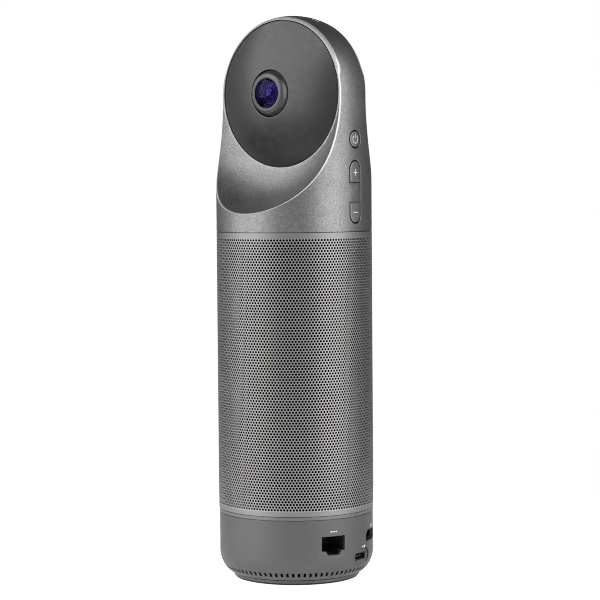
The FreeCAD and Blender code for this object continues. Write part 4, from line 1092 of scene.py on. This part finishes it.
def add_camera():
    """The camera, a little above the head's foot and looking slightly down."""
    level = math.cos(CAMERA_PITCH)
    forward = Vector((math.sin(CAMERA_YAW) * level, math.cos(CAMERA_YAW) * level,
                      -math.sin(CAMERA_PITCH)))
    right = Vector((math.cos(CAMERA_YAW), -math.sin(CAMERA_YAW), 0.0))
    up = right.cross(forward)
    right, up = (right * math.cos(CAMERA_ROLL) + up * math.sin(CAMERA_ROLL),
                 up * math.cos(CAMERA_ROLL) - right * math.sin(CAMERA_ROLL))
    right, up, forward = (turned_about_z(*v) for v in (right, up, forward))
    data = bpy.data.cameras.new("camera")
    data.sensor_width = SENSOR_WIDTH
    data.lens = FOCAL_LENGTH
    data.clip_start = 0.01
    camera = add_object("camera", data)
    place = Matrix.Translation(turned_about_z(0, -CAMERA_DISTANCE, CAMERA_HEIGHT))
    camera.matrix_world = place @ Matrix((right, up, -forward)).transposed().to_4x4()
    bpy.context.scene.camera = camera


def add_softbox(name, azimuth, elevation, distance, width, height, power):
    """A rectangular softbox that faces the object's middle."""
    out = direction_of(math.radians(azimuth), math.radians(elevation))
    data = bpy.data.lights.new(name, "AREA")
    data.shape = "RECTANGLE"
    data.size, data.size_y = width, height
    data.energy = power
    lamp = add_object(name, data)
    lamp.location = Vector((0, 0, AIM_HEIGHT)) + out * distance
    lamp.rotation_euler = out.to_track_quat("Z", "Y").to_euler()


def add_floor():
    """A round sheet of white paper, just large enough for the object's shadow."""
    angles = [2 * math.pi * k / FLOOR_SIDES for k in range(FLOOR_SIDES)]
    rim = [(FLOOR_RADIUS * math.cos(a), FLOOR_RADIUS * math.sin(a), 0) for a in angles]
    mesh = bpy.data.meshes.new("floor")
    mesh.from_pydata(rim, [], [tuple(range(FLOOR_SIDES))])
    paper = Surface("floor_paper", (0.94, 0.94, 0.94), 0.9)
    paper.vary_colour(paper.noise(30 * MM, detail=6.0), 0.995, 1.005)
    paper.set("Emission Color", (1.0, 1.0, 1.0, 1.0))
    paper.set("Emission Strength", 0.6)
    mesh.materials.append(paper.material)
    add_object("floor", mesh)


def set_world():
    """A grey room, lighter on the camera's side, darker above, and plain white to the camera."""
    world = bpy.data.worlds.new("studio")
    world.use_nodes = True
    tree = world.node_tree
    link = tree.links.new
    room = tree.nodes["Background"]
    direction = tree.nodes.new("ShaderNodeTexCoord").outputs["Generated"]

    def towards(x, y, z, lows, highs):
        """How far the direction leans to that side, mapped from one pair of numbers to another."""
        lean = tree.nodes.new("ShaderNodeVectorMath")
        lean.operation = "DOT_PRODUCT"
        lean.inputs[1].default_value = (x, y, z)
        link(direction, lean.inputs[0])
        ramp = tree.nodes.new("ShaderNodeMapRange")
        ramp.interpolation_type = "SMOOTHSTEP"
        for socket, number in zip(("From Min", "From Max", "To Min", "To Max"), (*lows, *highs)):
            ramp.inputs[socket].default_value = number
        link(lean.outputs["Value"], ramp.inputs["Value"])
        return ramp.outputs["Result"]

    front = towards(*turned_about_z(0, -1, 0), (-0.6, 0.6), (ROOM_BACK, ROOM_FRONT))
    height = towards(0, 0, 1, (0.1, 0.9), (1.0, ROOM_TOP))
    strength = tree.nodes.new("ShaderNodeMath")
    strength.operation = "MULTIPLY"
    link(front, strength.inputs[0])
    link(height, strength.inputs[1])
    link(strength.outputs["Value"], room.inputs["Strength"])
    paper = tree.nodes.new("ShaderNodeBackground")
    paper.inputs["Strength"].default_value = 1.0
    for background in (room, paper):
        background.inputs["Color"].default_value = (1.0, 1.0, 1.0, 1.0)
    mix = tree.nodes.new("ShaderNodeMixShader")
    link(tree.nodes.new("ShaderNodeLightPath").outputs["Is Camera Ray"], mix.inputs["Fac"])
    link(room.outputs["Background"], mix.inputs[1])
    link(paper.outputs["Background"], mix.inputs[2])
    link(mix.outputs["Shader"], tree.nodes["World Output"].inputs["Surface"])
    bpy.context.scene.world = world


add_camera()
add_floor()
set_world()
for softbox in SOFTBOXES:
    add_softbox(*softbox)
bpy.context.scene.view_settings.view_transform = "Standard"
bpy.context.scene.cycles.filter_width = 1.0
